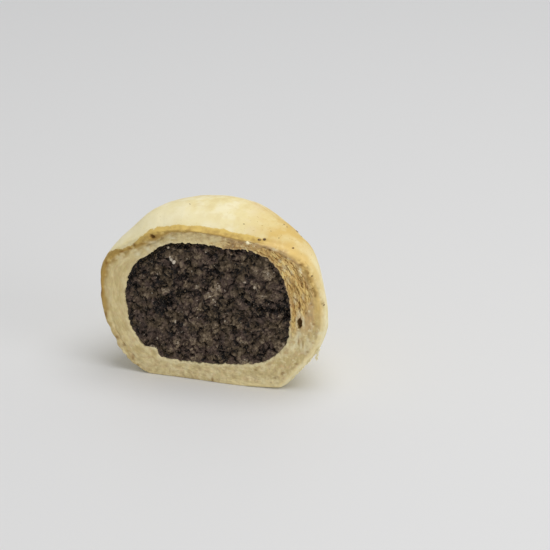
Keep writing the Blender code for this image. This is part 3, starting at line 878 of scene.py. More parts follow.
def new_tree(name, inputs):
    """A geometry tree with named number inputs: its bench, and a wire for each input."""
    tree = bpy.data.node_groups.new(name, "GeometryNodeTree")
    tree.interface.new_socket("Geometry", in_out="INPUT", socket_type="NodeSocketGeometry")
    for label, value in inputs.items():
        kind = "NodeSocketInt" if isinstance(value, int) else "NodeSocketFloat"
        socket = tree.interface.new_socket(label, in_out="INPUT", socket_type=kind)
        socket.default_value = value
    tree.interface.new_socket("Geometry", in_out="OUTPUT", socket_type="NodeSocketGeometry")
    bench = Bench(tree)
    start = tree.nodes.new("NodeGroupInput")
    wires = {socket.name: Wire(bench, socket) for socket in start.outputs if socket.name}
    return bench, wires


def close_tree(bench, geometry, material):
    """Every tree ends in real geometry that has its material."""
    real = bench.add("GeometryNodeRealizeInstances", None, {"Geometry": geometry})
    painted = bench.add("GeometryNodeSetMaterial", None, {"Geometry": real, "Material": material})
    bench.add("NodeGroupOutput", None, {"Geometry": painted})


def run_tree(thing, bench, inputs):
    """Put the tree's result in the object's mesh, and take the modifier off again."""
    modifier = thing.modifiers.new("tree", "NODES")
    modifier.node_group = bench.tree
    for socket in bench.tree.interface.items_tree:
        if socket.in_out == "INPUT" and socket.name in inputs:
            modifier[socket.identifier] = inputs[socket.name]
    graph = bpy.context.evaluated_depsgraph_get()
    mesh = bpy.data.meshes.new_from_object(
        thing.evaluated_get(graph), preserve_all_data_layers=True, depsgraph=graph)
    thing.modifiers.remove(modifier)
    thing.data = mesh
    mesh.name = thing.name
    print(thing.name, sum(len(p.vertices) - 2 for p in mesh.polygons), "triangles")


def attribute(bench, name, kind="FLOAT"):
    """A value kept on the mesh, inside a geometry tree."""
    return bench.add("GeometryNodeInputNamedAttribute", {"data_type": kind}, {"Name": name})


def store(bench, geometry, name, value, domain="POINT"):
    """Keep a value on the mesh under a name."""
    settings = {"data_type": "FLOAT", "domain": domain}
    sockets = {"Geometry": geometry, "Name": name, "Value": value}
    return bench.add("GeometryNodeStoreNamedAttribute", settings, sockets)


def moved(bench, geometry, offset):
    """Shift every point by its own offset."""
    return bench.add("GeometryNodeSetPosition", None, {"Geometry": geometry, "Offset": offset})


print("tree helpers ready")

# %% Roughen the crust
PASTRY_RELIEF = {
    "Layer height": 0.16 * MM,
    "Layer width": 0.65 * MM,
    "Grain height": 0.20 * MM,
    "Grain size": 0.65 * MM,
    "Swell height": 0.28 * MM,
    "Swell size": 2.4 * MM,
    "Flake height": 0.46 * MM,
    "Flake width": 0.74 * MM,
    "Gap depth": 0.32 * MM,
    "Skin height": 0.09 * MM,
    "Skin size": 1.8 * MM,
    "Seed": 3,
}
BEND_SIZE = 2.0 * MM
BEND = 1.6 * MM
LAYER_STRETCH = 3.5
FLAKE_STRETCH = 4.0
TERRACE = 0.25

pastry = bpy.data.materials.new("baked_pastry")
bench, wires = new_tree("pastry_relief", PASTRY_RELIEF)
rough = attribute(bench, "rough")
flaky_here = attribute(bench, "flaky")
wall_place = attribute(bench, "layers", "FLOAT_VECTOR")
position = bench.add("GeometryNodeInputPosition")


def sized_noise(vector, size, detail=2.0, seed_step=0.0):
    """Noise from -1 to 1, whose feature size is an input of the tree."""
    return bench.noise(vector, size, detail, wires["Seed"] + seed_step) * 2.0 - 1.0


def along_wall(vector, stretch):
    """A place whose steps along the wall count for less, so that noise runs that way."""
    return bench.vector("MULTIPLY", vector, (1.0 / stretch, 1.0 / stretch, 1.0))


bend = bench.noise(position, BEND_SIZE, 1.0, 21.0, 1)
bend = bench.scaled(bench.vector("SUBTRACT", bend, (0.5, 0.5, 0.5)), BEND)
bent_place = bench.vector("ADD", wall_place, bend)
lines = sized_noise(along_wall(bent_place, LAYER_STRETCH), wires["Layer width"])
flake_noise = sized_noise(along_wall(bent_place, FLAKE_STRETCH), wires["Flake width"], 2.0, 5.0)
terrace = flake_noise.math("SNAP", flake_noise, TERRACE) * 0.75 + flake_noise * 0.25
gap_noise = sized_noise(along_wall(bent_place, FLAKE_STRETCH), wires["Flake width"], 1.0, 31.0)
gap = 1.0 - abs(gap_noise).ramp(0.0, 0.20)
grain = sized_noise(position, wires["Grain size"], 3.0, 9.0) * wires["Grain height"]
swell = sized_noise(position, wires["Swell size"], 1.0, 17.0) * wires["Swell height"]
skin = sized_noise(position, wires["Skin size"], 3.0, 13.0) * wires["Skin height"]
flakes = (terrace * wires["Flake height"] - gap * wires["Gap depth"]) * flaky_here
height = (lines * wires["Layer height"] + flakes + grain + swell) * rough
height = (height + skin * (1.0 - rough)) * attribute(bench, "steady")
normal = bench.add("GeometryNodeInputNormal")
shaped = moved(bench, wires["Geometry"], bench.scaled(normal, height))
shaped = store(bench, shaped, "height", height / MM)
shaped = store(bench, shaped, "terrace", terrace * 0.5 + 0.5)
shaped = store(bench, shaped, "gap", gap * flaky_here)
close_tree(bench, shaped, pastry)
run_tree(crust, bench, PASTRY_RELIEF)

# %% [markdown]
# ## The filling
#
# The cut filling is coarse, like damp soil. Its face is a square grid bent to the round
# outline, which keeps its cells even, closed by a rounded back. Its rim falls away, most at
# the top and left, so that the crust's edge shades it there.

# %% Lay out the filling
FACE_CELLS = (290, 226)
BACK_ROWS = 8
FILLING_MARGIN = 0.27 * MM
FILLING_RECESS = 0.15 * MM


def filling_grid():
    """Points and faces of the filling: a bent grid in front, and rings behind its edge."""
    columns, rows = FACE_CELLS
    u, v = np.meshgrid(np.linspace(-1.0, 1.0, columns + 1), np.linspace(-1.0, 1.0, rows + 1))
    disc_x = (u * np.sqrt(1.0 - 0.5 * v * v)).ravel()
    disc_z = (v * np.sqrt(1.0 - 0.5 * u * u)).ravel()
    reach = np.hypot(disc_x, disc_z)
    angle = np.degrees(np.arctan2(disc_z, disc_x))
    radius = (filling_radius(angle) + FILLING_MARGIN) * reach
    x = FILLING_CENTRE[0] + radius * np.cos(np.radians(angle))
    z = FILLING_CENTRE[1] + radius * np.sin(np.radians(angle))
    front = np.column_stack((x, np.full(len(x), FILLING_RECESS), z))

    def at(column, row):
        return row * (columns + 1) + column

    faces = [(at(c, r), at(c + 1, r), at(c + 1, r + 1), at(c, r + 1))
             for r in range(rows) for c in range(columns)]
    edge = [at(c, 0) for c in range(columns)]
    edge += [at(columns, r) for r in range(rows)]
    edge += [at(c, rows) for c in range(columns, 0, -1)]
    edge += [at(0, r) for r in range(rows, 0, -1)]
    edge_angle = np.radians(angle[edge])
    points = [front]
    ring = edge
    count = len(front)
    for row in range(1, BACK_ROWS):
        bow = 0.5 * math.pi * row / BACK_ROWS
        around = np.column_stack((np.cos(bow) * np.cos(edge_angle),
                                  np.full(len(edge), math.sin(bow)),
                                  np.cos(bow) * np.sin(edge_angle)))
        points.append(filling_surface(around, 0.0))
        far_ring = list(range(count, count + len(edge)))
        faces += strip(far_ring, ring)
        count += len(edge)
        ring = far_ring
    points.append(filling_surface(np.array([(0.0, 1.0, 0.0)]), 0.0))
    faces += [(here, count, after) for here, after in pairs(ring)]
    inner = np.concatenate((reach, np.full(count + 1 - len(front), 2.0)))
    return np.concatenate(points), faces, inner


points, faces, reach = filling_grid()
filling = make_mesh("filling_dressed", points, faces)
print("filling", len(filling.data.vertices), "points")

# %% [markdown]
# ## Where the filling is sunk, light or dark
#
# A crack runs in from the right, there is a deep hole left of the middle, and some lumps are
# paler, where the paste is richer in husks. They are pointed out in the picture again, and a
# fifth number says how deep, in mm. A boolean could carve the holes, but pushed points keep
# the grid.

# %% Keep the filling's values
CRACK = ((246, 303), (254, 307), (262, 311), (276, 312), (292, 312))
DEEP_SPOTS = (
    (164, 303, 1.7, 1.5, 2.0), (185, 292, 1.3, 0.6, 0.8), (136, 287, 1.1, 0.6, 0.7),
    (284, 311, 2.0, 0.9, 0.9), (148, 258, 0.8, 0.7, 0.8), (184, 249, 1.6, 0.5, 0.6),
    (222, 299, 0.7, 0.4, 0.8), (240, 296, 1.0, 0.8, 0.7), (286, 316, 0.9, 1.3, 0.8),
    (165, 306, 0.9, 0.8, 2.2), (147, 309, 0.8, 0.4, 0.6), (260, 317, 0.8, 0.5, 0.6),
    (172, 335, 0.7, 0.6, 0.7), (218, 322, 0.6, 0.8, 0.6), (236, 266, 0.8, 0.6, 0.5),
    (157, 276, 0.9, 0.3, 0.5), (202, 250, 0.5, 0.6, 0.5), (150, 299, 0.6, 0.9, 0.5),
    (207, 291, 0.9, 0.3, 0.6), (233, 345, 0.9, 0.9, 0.4), (176, 271, 0.6, 0.8, 0.5),
)
LIGHT_SPOTS = (
    (217, 289, 1.3, 1.2), (209, 297, 1.0, 0.7), (213, 302, 0.6, 0.5), (171, 258, 0.7, 0.6),
    (175, 262, 0.5, 0.7), (165, 257, 0.6, 0.4), (157, 274, 0.9, 0.4), (206, 252, 0.5, 0.6),
    (184, 325, 0.6, 0.5), (225, 322, 0.6, 0.5), (262, 342, 0.7, 0.7), (283, 345, 0.6, 0.5),
    (255, 288, 1.1, 1.1), (262, 298, 0.9, 0.8), (267, 275, 1.2, 1.3), (165, 291, 1.3, 0.7),
    (145, 297, 0.7, 0.6), (196, 288, 0.8, 0.8), (196, 310, 1.0, 0.6), (247, 363, 1.4, 0.4),
    (213, 333, 0.6, 0.5), (176, 343, 0.9, 0.8), (240, 343, 1.3, 0.7), (152, 347, 0.9, 0.4),
)
CRACK_DEPTH = 1.2
CRACK_WIDTH = 0.55 * MM
SHADED_SIDE = (126.0, 52.0)
SHADED_RIGHT = (353.0, 12.0)
GRAIN_ROOM = 0.965

flat = points[:, [0, 2]]
crack_line = [np.array(place_on_cut(*point)) for point in CRACK]
from_crack = np.full(len(flat), 1.0)
for start, end in zip(crack_line[:-1], crack_line[1:]):
    run = end - start
    along = np.clip(((flat - start) @ run) / (run @ run), 0.0, 1.0)
    reached = start + along[:, None] * run
    from_crack = np.minimum(from_crack, np.linalg.norm(flat - reached, axis=1))
ragged_by = 1.0 + 0.6 * noise_at(points, 0.9 * MM, MARK_SEED)
deep = CRACK_DEPTH * bell(from_crack * ragged_by, CRACK_WIDTH)
deep = np.maximum(deep, marked(points, DEEP_SPOTS, ragged_by))
centre = np.array(FILLING_CENTRE)
about = np.degrees(np.arctan2(flat[:, 1] - centre[1], flat[:, 0] - centre[0]))
shaded_side = towards(about, *SHADED_SIDE) + 0.3 * towards(about, *SHADED_RIGHT)
shaded_side += 0.2 * noise_at(points, 3.0 * MM, EDGE_SEED) - 0.05
filling_values = {
    "reach": reach,
    "face": (reach <= 1.0).astype(float),
    "grain_room": (reach <= GRAIN_ROOM).astype(float),
    "deep": deep,
    "light": marked(points, LIGHT_SPOTS, ragged_by),
    "shaded_side": np.clip(shaded_side, 0.0, 1.0),
}
for name, values in filling_values.items():
    remember(filling, name, values)
print(len(DEEP_SPOTS), "deep spots,", len(LIGHT_SPOTS), "light spots")

# %% [markdown]
# ## Rubble by Geometry Nodes
#
# Ground sesame breaks into lumps of every size. Three cell patterns laid over each other give
# rounded lumps, each with a height of its own and sunken joints round it. Noise of two sizes
# makes them uneven, and thin lines of noise open a few deeper cracks. Painted relief would
# look flat under this light. The tree keeps height, rim, joints and tint for the colours,
# which paint the joints and hollows darker as shade.

# %% Break the filling into lumps
PASTE_RELIEF = {
    "Clump size": 3.2 * MM,
    "Clump height": 0.50 * MM,
    "Crevice size": 3.4 * MM,
    "Crevice depth": 0.65 * MM,
    "Lump size": 1.6 * MM,
    "Lump height": 0.32 * MM,
    "Rubble size": 1.8 * MM,
    "Rubble height": 1.35 * MM,
    "Grain size": 0.75 * MM,
    "Grain height": 0.22 * MM,
    "Grit size": 0.32 * MM,
    "Grit height": 0.12 * MM,
    "Edge drop": 1.25 * MM,
    "Seed": 8,
}

paste = bpy.data.materials.new("sesame_paste")
bench, wires = new_tree("paste_relief", PASTE_RELIEF)
position = bench.add("GeometryNodeInputPosition")
on_face = attribute(bench, "face")


def cells(size, out, seed_step=0.0, feature="F1"):
    """One output of a bent cell pattern: 0 a distance, 1 each cell's own random colour."""
    push = bench.add("ShaderNodeTexNoise", {"noise_dimensions": "3D"}, {
        "Vector": position, "Scale": 1.0 / size}, 1)
    bent = bench.vector("ADD", position, bench.scaled(push, size * 0.55))
    settings = {"voronoi_dimensions": "4D", "feature": feature}
    sockets = {"Vector": bent, "W": wires["Seed"] + seed_step, "Scale": 1.0 / size}
    return bench.add("ShaderNodeTexVoronoi", settings, sockets, out)


def lumps(label, seed_step):
    """Rounded cells, each with a height of its own: their rise, their tints, their joints."""
    size = wires[label + " size"]
    own = bench.add("ShaderNodeSeparateXYZ", None, {0: cells(size, 1, seed_step)})
    bump = (0.75 - cells(size, 0, seed_step)) + (own - 0.5) * 0.9
    joint = 1.0 - cells(size, 0, seed_step, "DISTANCE_TO_EDGE").ramp(0.0, 0.18)
    return (bump - joint * 0.30) * wires[label + " height"], own, joint


clump_rise, clump_tint, _ = lumps("Clump", 0.0)
lump_rise, lump_tint, lump_joint = lumps("Lump", 2.5)
grain_rise, grain_tint, grain_joint = lumps("Grain", 5.5)
grit = sized_noise(position, wires["Grit size"], 2.0, 4.0) * wires["Grit height"]
drop = wires["Edge drop"] * (0.06 + 0.94 * attribute(bench, "shaded_side"))
rim = attribute(bench, "reach").ramp(0.915, 0.985) * drop
sunken = attribute(bench, "deep") * MM
rubble = bench.add("ShaderNodeTexNoise", {"noise_dimensions": "4D"}, {
    "Vector": position, "W": wires["Seed"] + 14.0, "Scale": 1.0 / wires["Rubble size"],
    "Detail": 3.0, "Roughness": 0.62, "Distortion": 1.1})
rubble = (rubble * 2.0 - 1.0) * wires["Rubble height"]
split = abs(sized_noise(position, wires["Crevice size"], 3.0, 22.0))
crevice = 1.0 - split.ramp(0.015, 0.11)
rise = clump_rise + lump_rise + grain_rise + rubble + grit - 0.35 * MM
rise = rise - crevice * wires["Crevice depth"]
calm_rim = 1.0 - 0.7 * attribute(bench, "reach").ramp(0.94, 1.0)
rise = rise.math("MINIMUM", rise, 0.40 * MM) * calm_rim
rise = (rise - rim - sunken) * on_face
forward_offset = bench.add("ShaderNodeCombineXYZ", None, {"Y": rise * -1.0})
shaped = moved(bench, wires["Geometry"], forward_offset)
shaped = store(bench, shaped, "height", (rise + rim) / MM)
shaped = store(bench, shaped, "rim", rim / MM)
shaped = store(bench, shaped, "joint", lump_joint * 0.4 + grain_joint * 0.3 + crevice * 0.8)
shaped = store(bench, shaped, "tint", lump_tint * 0.5 + grain_tint * 0.35 + clump_tint * 0.15)
close_tree(bench, shaped, paste)
run_tree(filling, bench, PASTE_RELIEF)

# %% [markdown]
# ## Crumbs
#
# Loose grains lie all over the cut filling, and thin broken flakes in the loose part of the
# crust. Placing thousands by hand is hopeless, and particles would not survive an export.
# Geometry Nodes scatter points where the surface allows it, put a small rough body on each,
# turn and stretch it at random, and make them real.

# %% A tree that scatters rough bodies


def rough_bodies(bench, points, rotation, scale, tint, fineness, roughness, material):
    """Put a ball on every point, make them real and dent them."""
    ball = bench.add("GeometryNodeMeshIcoSphere", None, {"Radius": 1.0, "Subdivisions": fineness})
    placed = bench.add("GeometryNodeInstanceOnPoints", None, {
        "Points": points, "Instance": ball, "Rotation": rotation, "Scale": scale})
    placed = store(bench, placed, "tint", tint, "INSTANCE")
    real = bench.add("GeometryNodeRealizeInstances", None, {"Geometry": placed})
    position = bench.add("GeometryNodeInputPosition")
    dents = bench.noise(position, 0.45 * MM, 2.0, 0.0, 1)
    dents = bench.vector("SUBTRACT", dents, (0.5, 0.5, 0.5))
    close_tree(bench, moved(bench, real, bench.scaled(dents, roughness)), material)


def scatter_tree(name, inputs, mask, material, shape, spin, follow, fineness):
    """A tree that turns a surface into small bodies. shape and spin hold the least and most
    of the proportions and turns, and follow says how far a body turns with the wall."""
    bench, wires = new_tree(name, inputs)
    density = wires["Per square mm"] / MM ** 2 * attribute(bench, mask)
    spots = bench.add(
        "GeometryNodeDistributePointsOnFaces", {"distribute_method": "RANDOM"},
        {"Mesh": wires["Geometry"], "Density": density, "Seed": wires["Seed"]})

    def random(least, most, step, vector=False):
        kind, first, out = ("FLOAT_VECTOR", 0, 0) if vector else ("FLOAT", 2, 1)
        sockets = {first: least, first + 1: most, "Seed": wires["Seed"] + step}
        return bench.add("FunctionNodeRandomValue", {"data_type": kind}, sockets, out)

    size = random(wires["Smallest"], wires["Largest"], 1)
    scale = bench.scaled(random(*shape, 3, vector=True), size)
    lay = bench.add("ShaderNodeCombineXYZ", None, {"Y": attribute(bench, "lay") * follow})
    rotation = bench.vector("ADD", random(*spin, 2, vector=True), lay)
    tint = random(0.0, 1.0, 4)
    rough_bodies(bench, spots, rotation, scale, tint, fineness, wires["Roughness"], material)
    return bench


def scattered(source, name, inputs, *rest):
    """A new object made by scattering over a source object."""
    thing = new_object(name, source.data)
    run_tree(thing, scatter_tree(name, inputs, *rest), inputs)
    return thing


print("scatter tree ready")

# %% Scatter grains and flakes
ANY_WAY = ((0.0, 0.0, 0.0), (math.tau, math.tau, math.tau))
NEARLY_FLAT = ((-0.4, -0.4, -0.25), (0.4, 0.4, 0.25))
GRAIN_SHAPE = ((0.7, 0.3, 0.4), (1.5, 0.7, 0.9))
GRIT_SHAPE = ((0.8, 0.6, 0.6), (1.4, 1.0, 1.0))
FLAKE_SHAPE = ((1.4, 0.26, 0.36), (2.6, 0.42, 0.62))
GRAINS = {
    "Per square mm": 0.34,
    "Smallest": 0.16 * MM,
    "Largest": 0.44 * MM,
    "Roughness": 0.42 * MM,
    "Seed": 5,
}
GRIT = {
    "Per square mm": 3.2,
    "Smallest": 0.07 * MM,
    "Largest": 0.20 * MM,
    "Roughness": 0.14 * MM,
    "Seed": 12,
}
FLAKES = {
    "Per square mm": 3.2,
    "Smallest": 0.16 * MM,
    "Largest": 0.50 * MM,
    "Roughness": 0.20 * MM,
    "Seed": 7,
}
crumb = bpy.data.materials.new("sesame_crumb")
grains = scattered(filling, "sesame_grains", GRAINS, "grain_room", crumb,
                   GRAIN_SHAPE, ANY_WAY, 0.0, 2)
grit_bits = scattered(filling, "sesame_grit", GRIT, "face", crumb,
                      GRIT_SHAPE, ANY_WAY, 0.0, 1)
flake_bits = scattered(crust, "pastry_flakes", FLAKES, "flaky", pastry,
                       FLAKE_SHAPE, NEARLY_FLAT, 1.0, 2)

# %% [markdown]
# ## Single bits in known places
#
# Dark flecks of sesame dot the skin, and where the lower right edge was torn, pale slivers
# and a thin strand stick out. A few pale crumbs and husks lie on the cut. Each is a picture
# point with its length, and for a fleck its width, in mm. Lines of sight find it again on
# the piece that carries it, and the flecks lie flat there. All use the same rough bodies as
# above, on points that carry their own size and turn.

# %% Where the single bits are
FLECKS = (
    (158, 206, 0.46, 0.22), (297, 231.5, 0.56, 0.40), (284, 224.5, 0.30, 0.22),
    (259.5, 239.7, 0.50, 0.30), (264.5, 239.4, 0.46, 0.34), (190, 204, 0.30, 0.12),
    (287, 227, 0.26, 0.16), (293, 248, 0.36, 0.24), (244, 224, 0.22, 0.15),
    (312, 276, 0.28, 0.18), (324, 305, 0.36, 0.24), (271, 231, 0.16, 0.12), (279, 238, 0.18, 0.12),
)
FLECK_GROUPS = 44
FLECK_HEADINGS = (15.0, 165.0)
FLECK_CLIMBS = (-0.35, 0.85)
FLECK_START = 100.0 * MM
FLECK_DEPTH = 0.35
SLIVER_TURNS = (318.0, 346.0)
SLIVERS = 54
SLIVER_LENGTH = (0.15, 0.42)
STRAND = ((319.0, 350.0), (317.3, 351.2), (316.4, 354.0), (316.2, 357.5), (315.3, 361.0))
STRAND_BITS = 24
CRUMBS = (
    (248.0, 242.6, 0.80), (246.0, 242.0, 0.36), (250.5, 243.5, 0.30), (233.0, 246.0, 0.16),
    (222.0, 247.0, 0.20), (241.0, 246.5, 0.18), (245.5, 247.5, 0.26), (238.0, 249.0, 0.16),
    (172.0, 241.5, 0.16), (160.0, 350.0, 0.30),
)
HUSKS = (
    (171.8, 259.2, 1.20), (174.0, 262.0, 0.80), (170.0, 256.6, 0.50), (165.0, 257.0, 0.24),
    (219.0, 286.0, 0.34), (217.0, 290.0, 0.30), (213.0, 299.5, 0.36), (210.0, 296.5, 0.30),
    (215.5, 302.0, 0.24), (208.0, 293.0, 0.22), (206.0, 252.0, 0.28), (157.5, 274.0, 0.34),
    (225.0, 321.0, 0.22), (184.0, 325.0, 0.20), (262.0, 296.0, 0.24), (284.0, 345.0, 0.16),
    (247.0, 360.5, 0.30), (241.0, 343.0, 0.20), (152.0, 293.0, 0.24), (268.0, 272.0, 0.20),
)
FLECK_ROUGHNESS = 0.12 * MM
SLIVER_ROUGHNESS = 0.07 * MM
draw = np.random.default_rng(11)
print(len(FLECKS), "flecks,", len(CRUMBS), "crumbs and", len(HUSKS), "husks pointed out")

# %% Helpers for single bits


def landed(tree, start, line):
    """Where a line meets a piece, from the middle of the cut, and which way it faces there.
    A line that just misses takes the nearest place."""
    hit, normal, _, _ = tree.ray_cast(start, line)
    if hit is None:
        hit, normal, _, _ = tree.find_nearest(start + line * CAMERA_DISTANCE)
    return hit - CUT_MIDDLE, normal


def placed_bits(name, places, sizes, turns, roughness, tint, material):
    """One object with a small rough body at every given place."""
    inputs = {"Roughness": roughness}
    thing = make_mesh(name, np.array(places), [])
    remember(thing, "size", sizes)
    remember(thing, "turn", turns)
    bench, wires = new_tree(name, inputs)
    spots = bench.add("GeometryNodeMeshToPoints", None, {"Mesh": wires["Geometry"]})
    turn_of = attribute(bench, "turn", "FLOAT_VECTOR")
    size_of = attribute(bench, "size", "FLOAT_VECTOR")
    rough_bodies(bench, spots, turn_of, size_of, tint, 2, wires["Roughness"], material)
    run_tree(thing, bench, inputs)
    return thing


def ray_tree(thing):
    """The faces of a piece, ready to be met by lines."""
    faces = [tuple(face.vertices) for face in thing.data.polygons]
    return BVHTree.FromPolygons([point.co for point in thing.data.vertices], faces)


skin_tree = ray_tree(crust)
print("helpers for single bits ready")

# %% Lay the flecks on the skin
lines = [(EYE, sight(*fleck_seen[:2]), *fleck_seen[2:]) for fleck_seen in FLECKS]
belly = CUT_MIDDLE + Vector((0.0, 0.0, BELLY_HEIGHT))
for _ in range(FLECK_GROUPS):
    heading = math.radians(draw.uniform(*FLECK_HEADINGS))
    up = draw.uniform(*FLECK_CLIMBS)
    for _ in range(draw.integers(1, 5)):
        beside = heading + draw.normal() * 0.035
        away = Vector((math.cos(beside), math.sin(beside), up + draw.normal() * 0.02)).normalized()
        length = 0.14 + 0.5 * draw.uniform() ** 3
        start = belly + away * FLECK_START
        lines.append((start, -away, length, length * draw.uniform(0.35, 0.8)))
places, sizes, turns = [], [], []
for start, line, length, width in lines:
    spot_on_skin, normal = landed(skin_tree, start, line)
    places.append(spot_on_skin)
    sizes.append((length * MM, width * MM, FLECK_DEPTH * width * MM))
    turns.append(normal.to_track_quat("Z", "Y").to_euler())
fleck = bpy.data.materials.new("baked_fleck")
flecks = placed_bits("skin_flecks", places, sizes, turns, FLECK_ROUGHNESS, 0.0, fleck)

# %% Stand slivers, a strand and crumbs on the edges
rim_row = place[SKIN_ROWS * TURNS:(SKIN_ROWS + 1) * TURNS]
places, sizes, turns = [], [], []
for _ in range(SLIVERS):
    at = math.radians(draw.uniform(*SLIVER_TURNS))
    outward = np.array((math.cos(at), 0.0, math.sin(at)))
    start = rim_row[int(at / math.tau * TURNS) % TURNS]
    long_side = draw.uniform(*SLIVER_LENGTH) * MM
    places.append(start + outward * (0.2 * long_side) + (0.0, draw.uniform(-0.5, 0.3) * MM, 0.0))
    sizes.append((long_side, 0.5 * long_side, 0.13 * MM))
    turns.append((draw.uniform(0.0, math.tau), draw.uniform(0.9, 1.7) - at, 0.0))
strand_x, strand_y = zip(*STRAND)
knots = np.linspace(0.0, 1.0, len(STRAND))
for along in np.linspace(0.0, 1.0, STRAND_BITS):
    x, z = place_on_cut(np.interp(along, knots, strand_x), np.interp(along, knots, strand_y))
    places.append((x + draw.normal() * 0.12 * MM, (0.6 + 0.5 * along) * MM, z))
    sizes.append((draw.uniform(0.24, 0.50) * MM, 0.22 * MM, 0.18 * MM))
    turns.append((draw.uniform(0.0, math.tau), math.radians(80.0) + draw.normal() * 0.5, 0.0))
for picture_x, picture_y, length in CRUMBS:
    places.append(landed(skin_tree, EYE, sight(picture_x, picture_y))[0])
    sizes.append((length * MM, 0.7 * length * MM, 0.5 * length * MM))
    turns.append(tuple(draw.uniform(0.0, math.tau, 3)))
slivers = placed_bits("edge_slivers", places, sizes, turns, SLIVER_ROUGHNESS, 2.0, pastry)

# %% Lay pale husks on the filling
filling_tree = ray_tree(filling)
places = [landed(filling_tree, EYE, sight(*husk[:2]))[0] for husk in HUSKS]
sizes = [(0.8 * length * MM, 0.6 * length * MM, 0.5 * length * MM) for _, _, length in HUSKS]
turns = [tuple(draw.uniform(0.0, math.tau, 3)) for _ in HUSKS]
husks = placed_bits("husk_bits", places, sizes, turns, SLIVER_ROUGHNESS, 2.0, crumb)

# %% [markdown]
# ## The finishes
#
# Pastry: a warm cream skin, a drier and slightly darker cut, an ochre band where the skin is
# cut, gold on the rounded edge and brown, as painted shade, in the gaps between flakes. The
# colours follow the relief kept on the mesh: a gap is painted darker where it is deep, as
# shade. Both parts of the finish share a few noises, from broad patches down to pores.

# %% Helpers for colours


def linear(red, green, blue):
    """A screen colour from 0 to 255 as the linear colour that a shader takes."""
    values = []
    for part in (red, green, blue):
        part = part / 255.0
        values.append(part / 12.92 if part <= 0.04045 else ((part + 0.055) / 1.055) ** 2.4)
    return *values, 1.0


def finish_bench(material):
    """A bench for a material's shader, its Principled node and the place on the piece."""
    material.use_nodes = True
    bench = Bench(material.node_tree)
    shader = material.node_tree.nodes["Principled BSDF"]
    return bench, shader, bench.add("ShaderNodeTexCoord", None, None, 3)


def kept(bench, name, out=2):
    """A value or vector kept on the mesh, inside a shader."""
    settings = {"attribute_type": "GEOMETRY", "attribute_name": name}
    return bench.add("ShaderNodeAttribute", settings, None, out)


def layered(bench, colour, steps):
    """Lay one colour after another over the first, each as far as its factor says."""
    for factor, over in steps:
        colour = bench.mix(factor, colour, over)
    return colour


def finish(bench, shader, colour, roughness, gloss, relief=None, strength=0.0, depth=0.0):
    """Join the colour to the shader, with its roughness, its gloss and a fine relief."""
    bench.tree.links.new(colour.socket, shader.inputs["Base Color"])
    shader.inputs["Roughness"].default_value = roughness
    shader.inputs["Specular IOR Level"].default_value = gloss
    if relief is not None:
        sockets = {"Height": relief, "Strength": strength, "Distance": depth}
        bump = bench.add("ShaderNodeBump", None, sockets)
        bench.tree.links.new(bump.socket, shader.inputs["Normal"])


print("white is", linear(255, 255, 255))

# %% The pastry's colours and noises
SKIN = linear(243, 228, 172)
SKIN_PALE = linear(250, 240, 200)
SKIN_SHADE = linear(228, 206, 146)
SKIN_GOLD = linear(226, 193, 114)
SKIN_BROWN = linear(214, 174, 104)
DOUGH = linear(241, 222, 162)
DOUGH_SHADE = linear(214, 194, 136)
DOUGH_ROSE = linear(222, 192, 142)
DOUGH_GREY = linear(204, 180, 134)
DOUGH_PALE = linear(251, 238, 192)
TOAST = linear(202, 162, 98)
FLAKE_TAN = linear(250, 216, 136)
FLAKE_BROWN = linear(196, 148, 80)
FLAKE_CREAM = linear(252, 232, 160)
EDGE_GOLD = linear(238, 202, 122)
OCHRE = linear(230, 198, 112)
OLIVE = linear(186, 152, 82)
BEIGE = linear(220, 184, 130)
LIP_SHADE_TONE = linear(168, 134, 94)
EDGE_BROWN = linear(166, 132, 72)
EDGE_PALE = linear(250, 232, 176)
DARK_BROWN = linear(126, 88, 38)
MARK_BROWN = linear(136, 90, 30)

bench, shader, place_on = finish_bench(pastry)


def own(name, out=2):
    """A value that the crust or one of its bits keeps."""
    return kept(bench, name, out)


def stretched(name, stretch):
    """A place along the layers, whose steps that way count for less."""
    return bench.vector("MULTIPLY", own(name, 1), (stretch, stretch, 1.0))


patch = bench.noise(place_on, 9.0 * MM, 2.0, 7.0)
blotch = bench.noise(place_on, 4.0 * MM, 3.0, 12.0)
skin_cloud = bench.noise(place_on, 2.4 * MM, 3.0, 16.0)
mottle = bench.noise(place_on, 1.5 * MM, 3.0, 2.0)
spots = bench.noise(place_on, 1.1 * MM, 2.0, 51.0)
freckle = bench.noise(place_on, 0.55 * MM, 1.0, 61.0).ramp(0.66, 0.73)
pores = bench.noise(place_on, 0.22 * MM, 3.0, 4.0)
smear = bench.noise(stretched("layers", 0.6), 2.0 * MM, 1.0, 33.0)
cloud = bench.noise(stretched("layers", 0.5), 1.0 * MM, 3.0, 16.0)
streak = bench.noise(stretched("layers", 0.32), 0.95 * MM, 3.0, 5.0)
thread = bench.noise(stretched("layers", 0.32), 0.45 * MM, 2.0, 28.0)
fine_line = bench.noise(stretched("layers", 0.32), 0.30 * MM, 3.0, 8.0)
skin_streak = bench.noise(stretched("skin_layers", 0.12), 1.3 * MM, 2.0, 6.0)
print("pastry noises ready")

# %% [markdown]
# ## The skin's colours
#
# Baked dough is cream and cloudy, gold where the oven browned it, and olive brown along the
# edges of its wound layers. A painted picture could hold all that, but noises fit any size
# and need no file. Each line of the list lays one more colour over those before it.

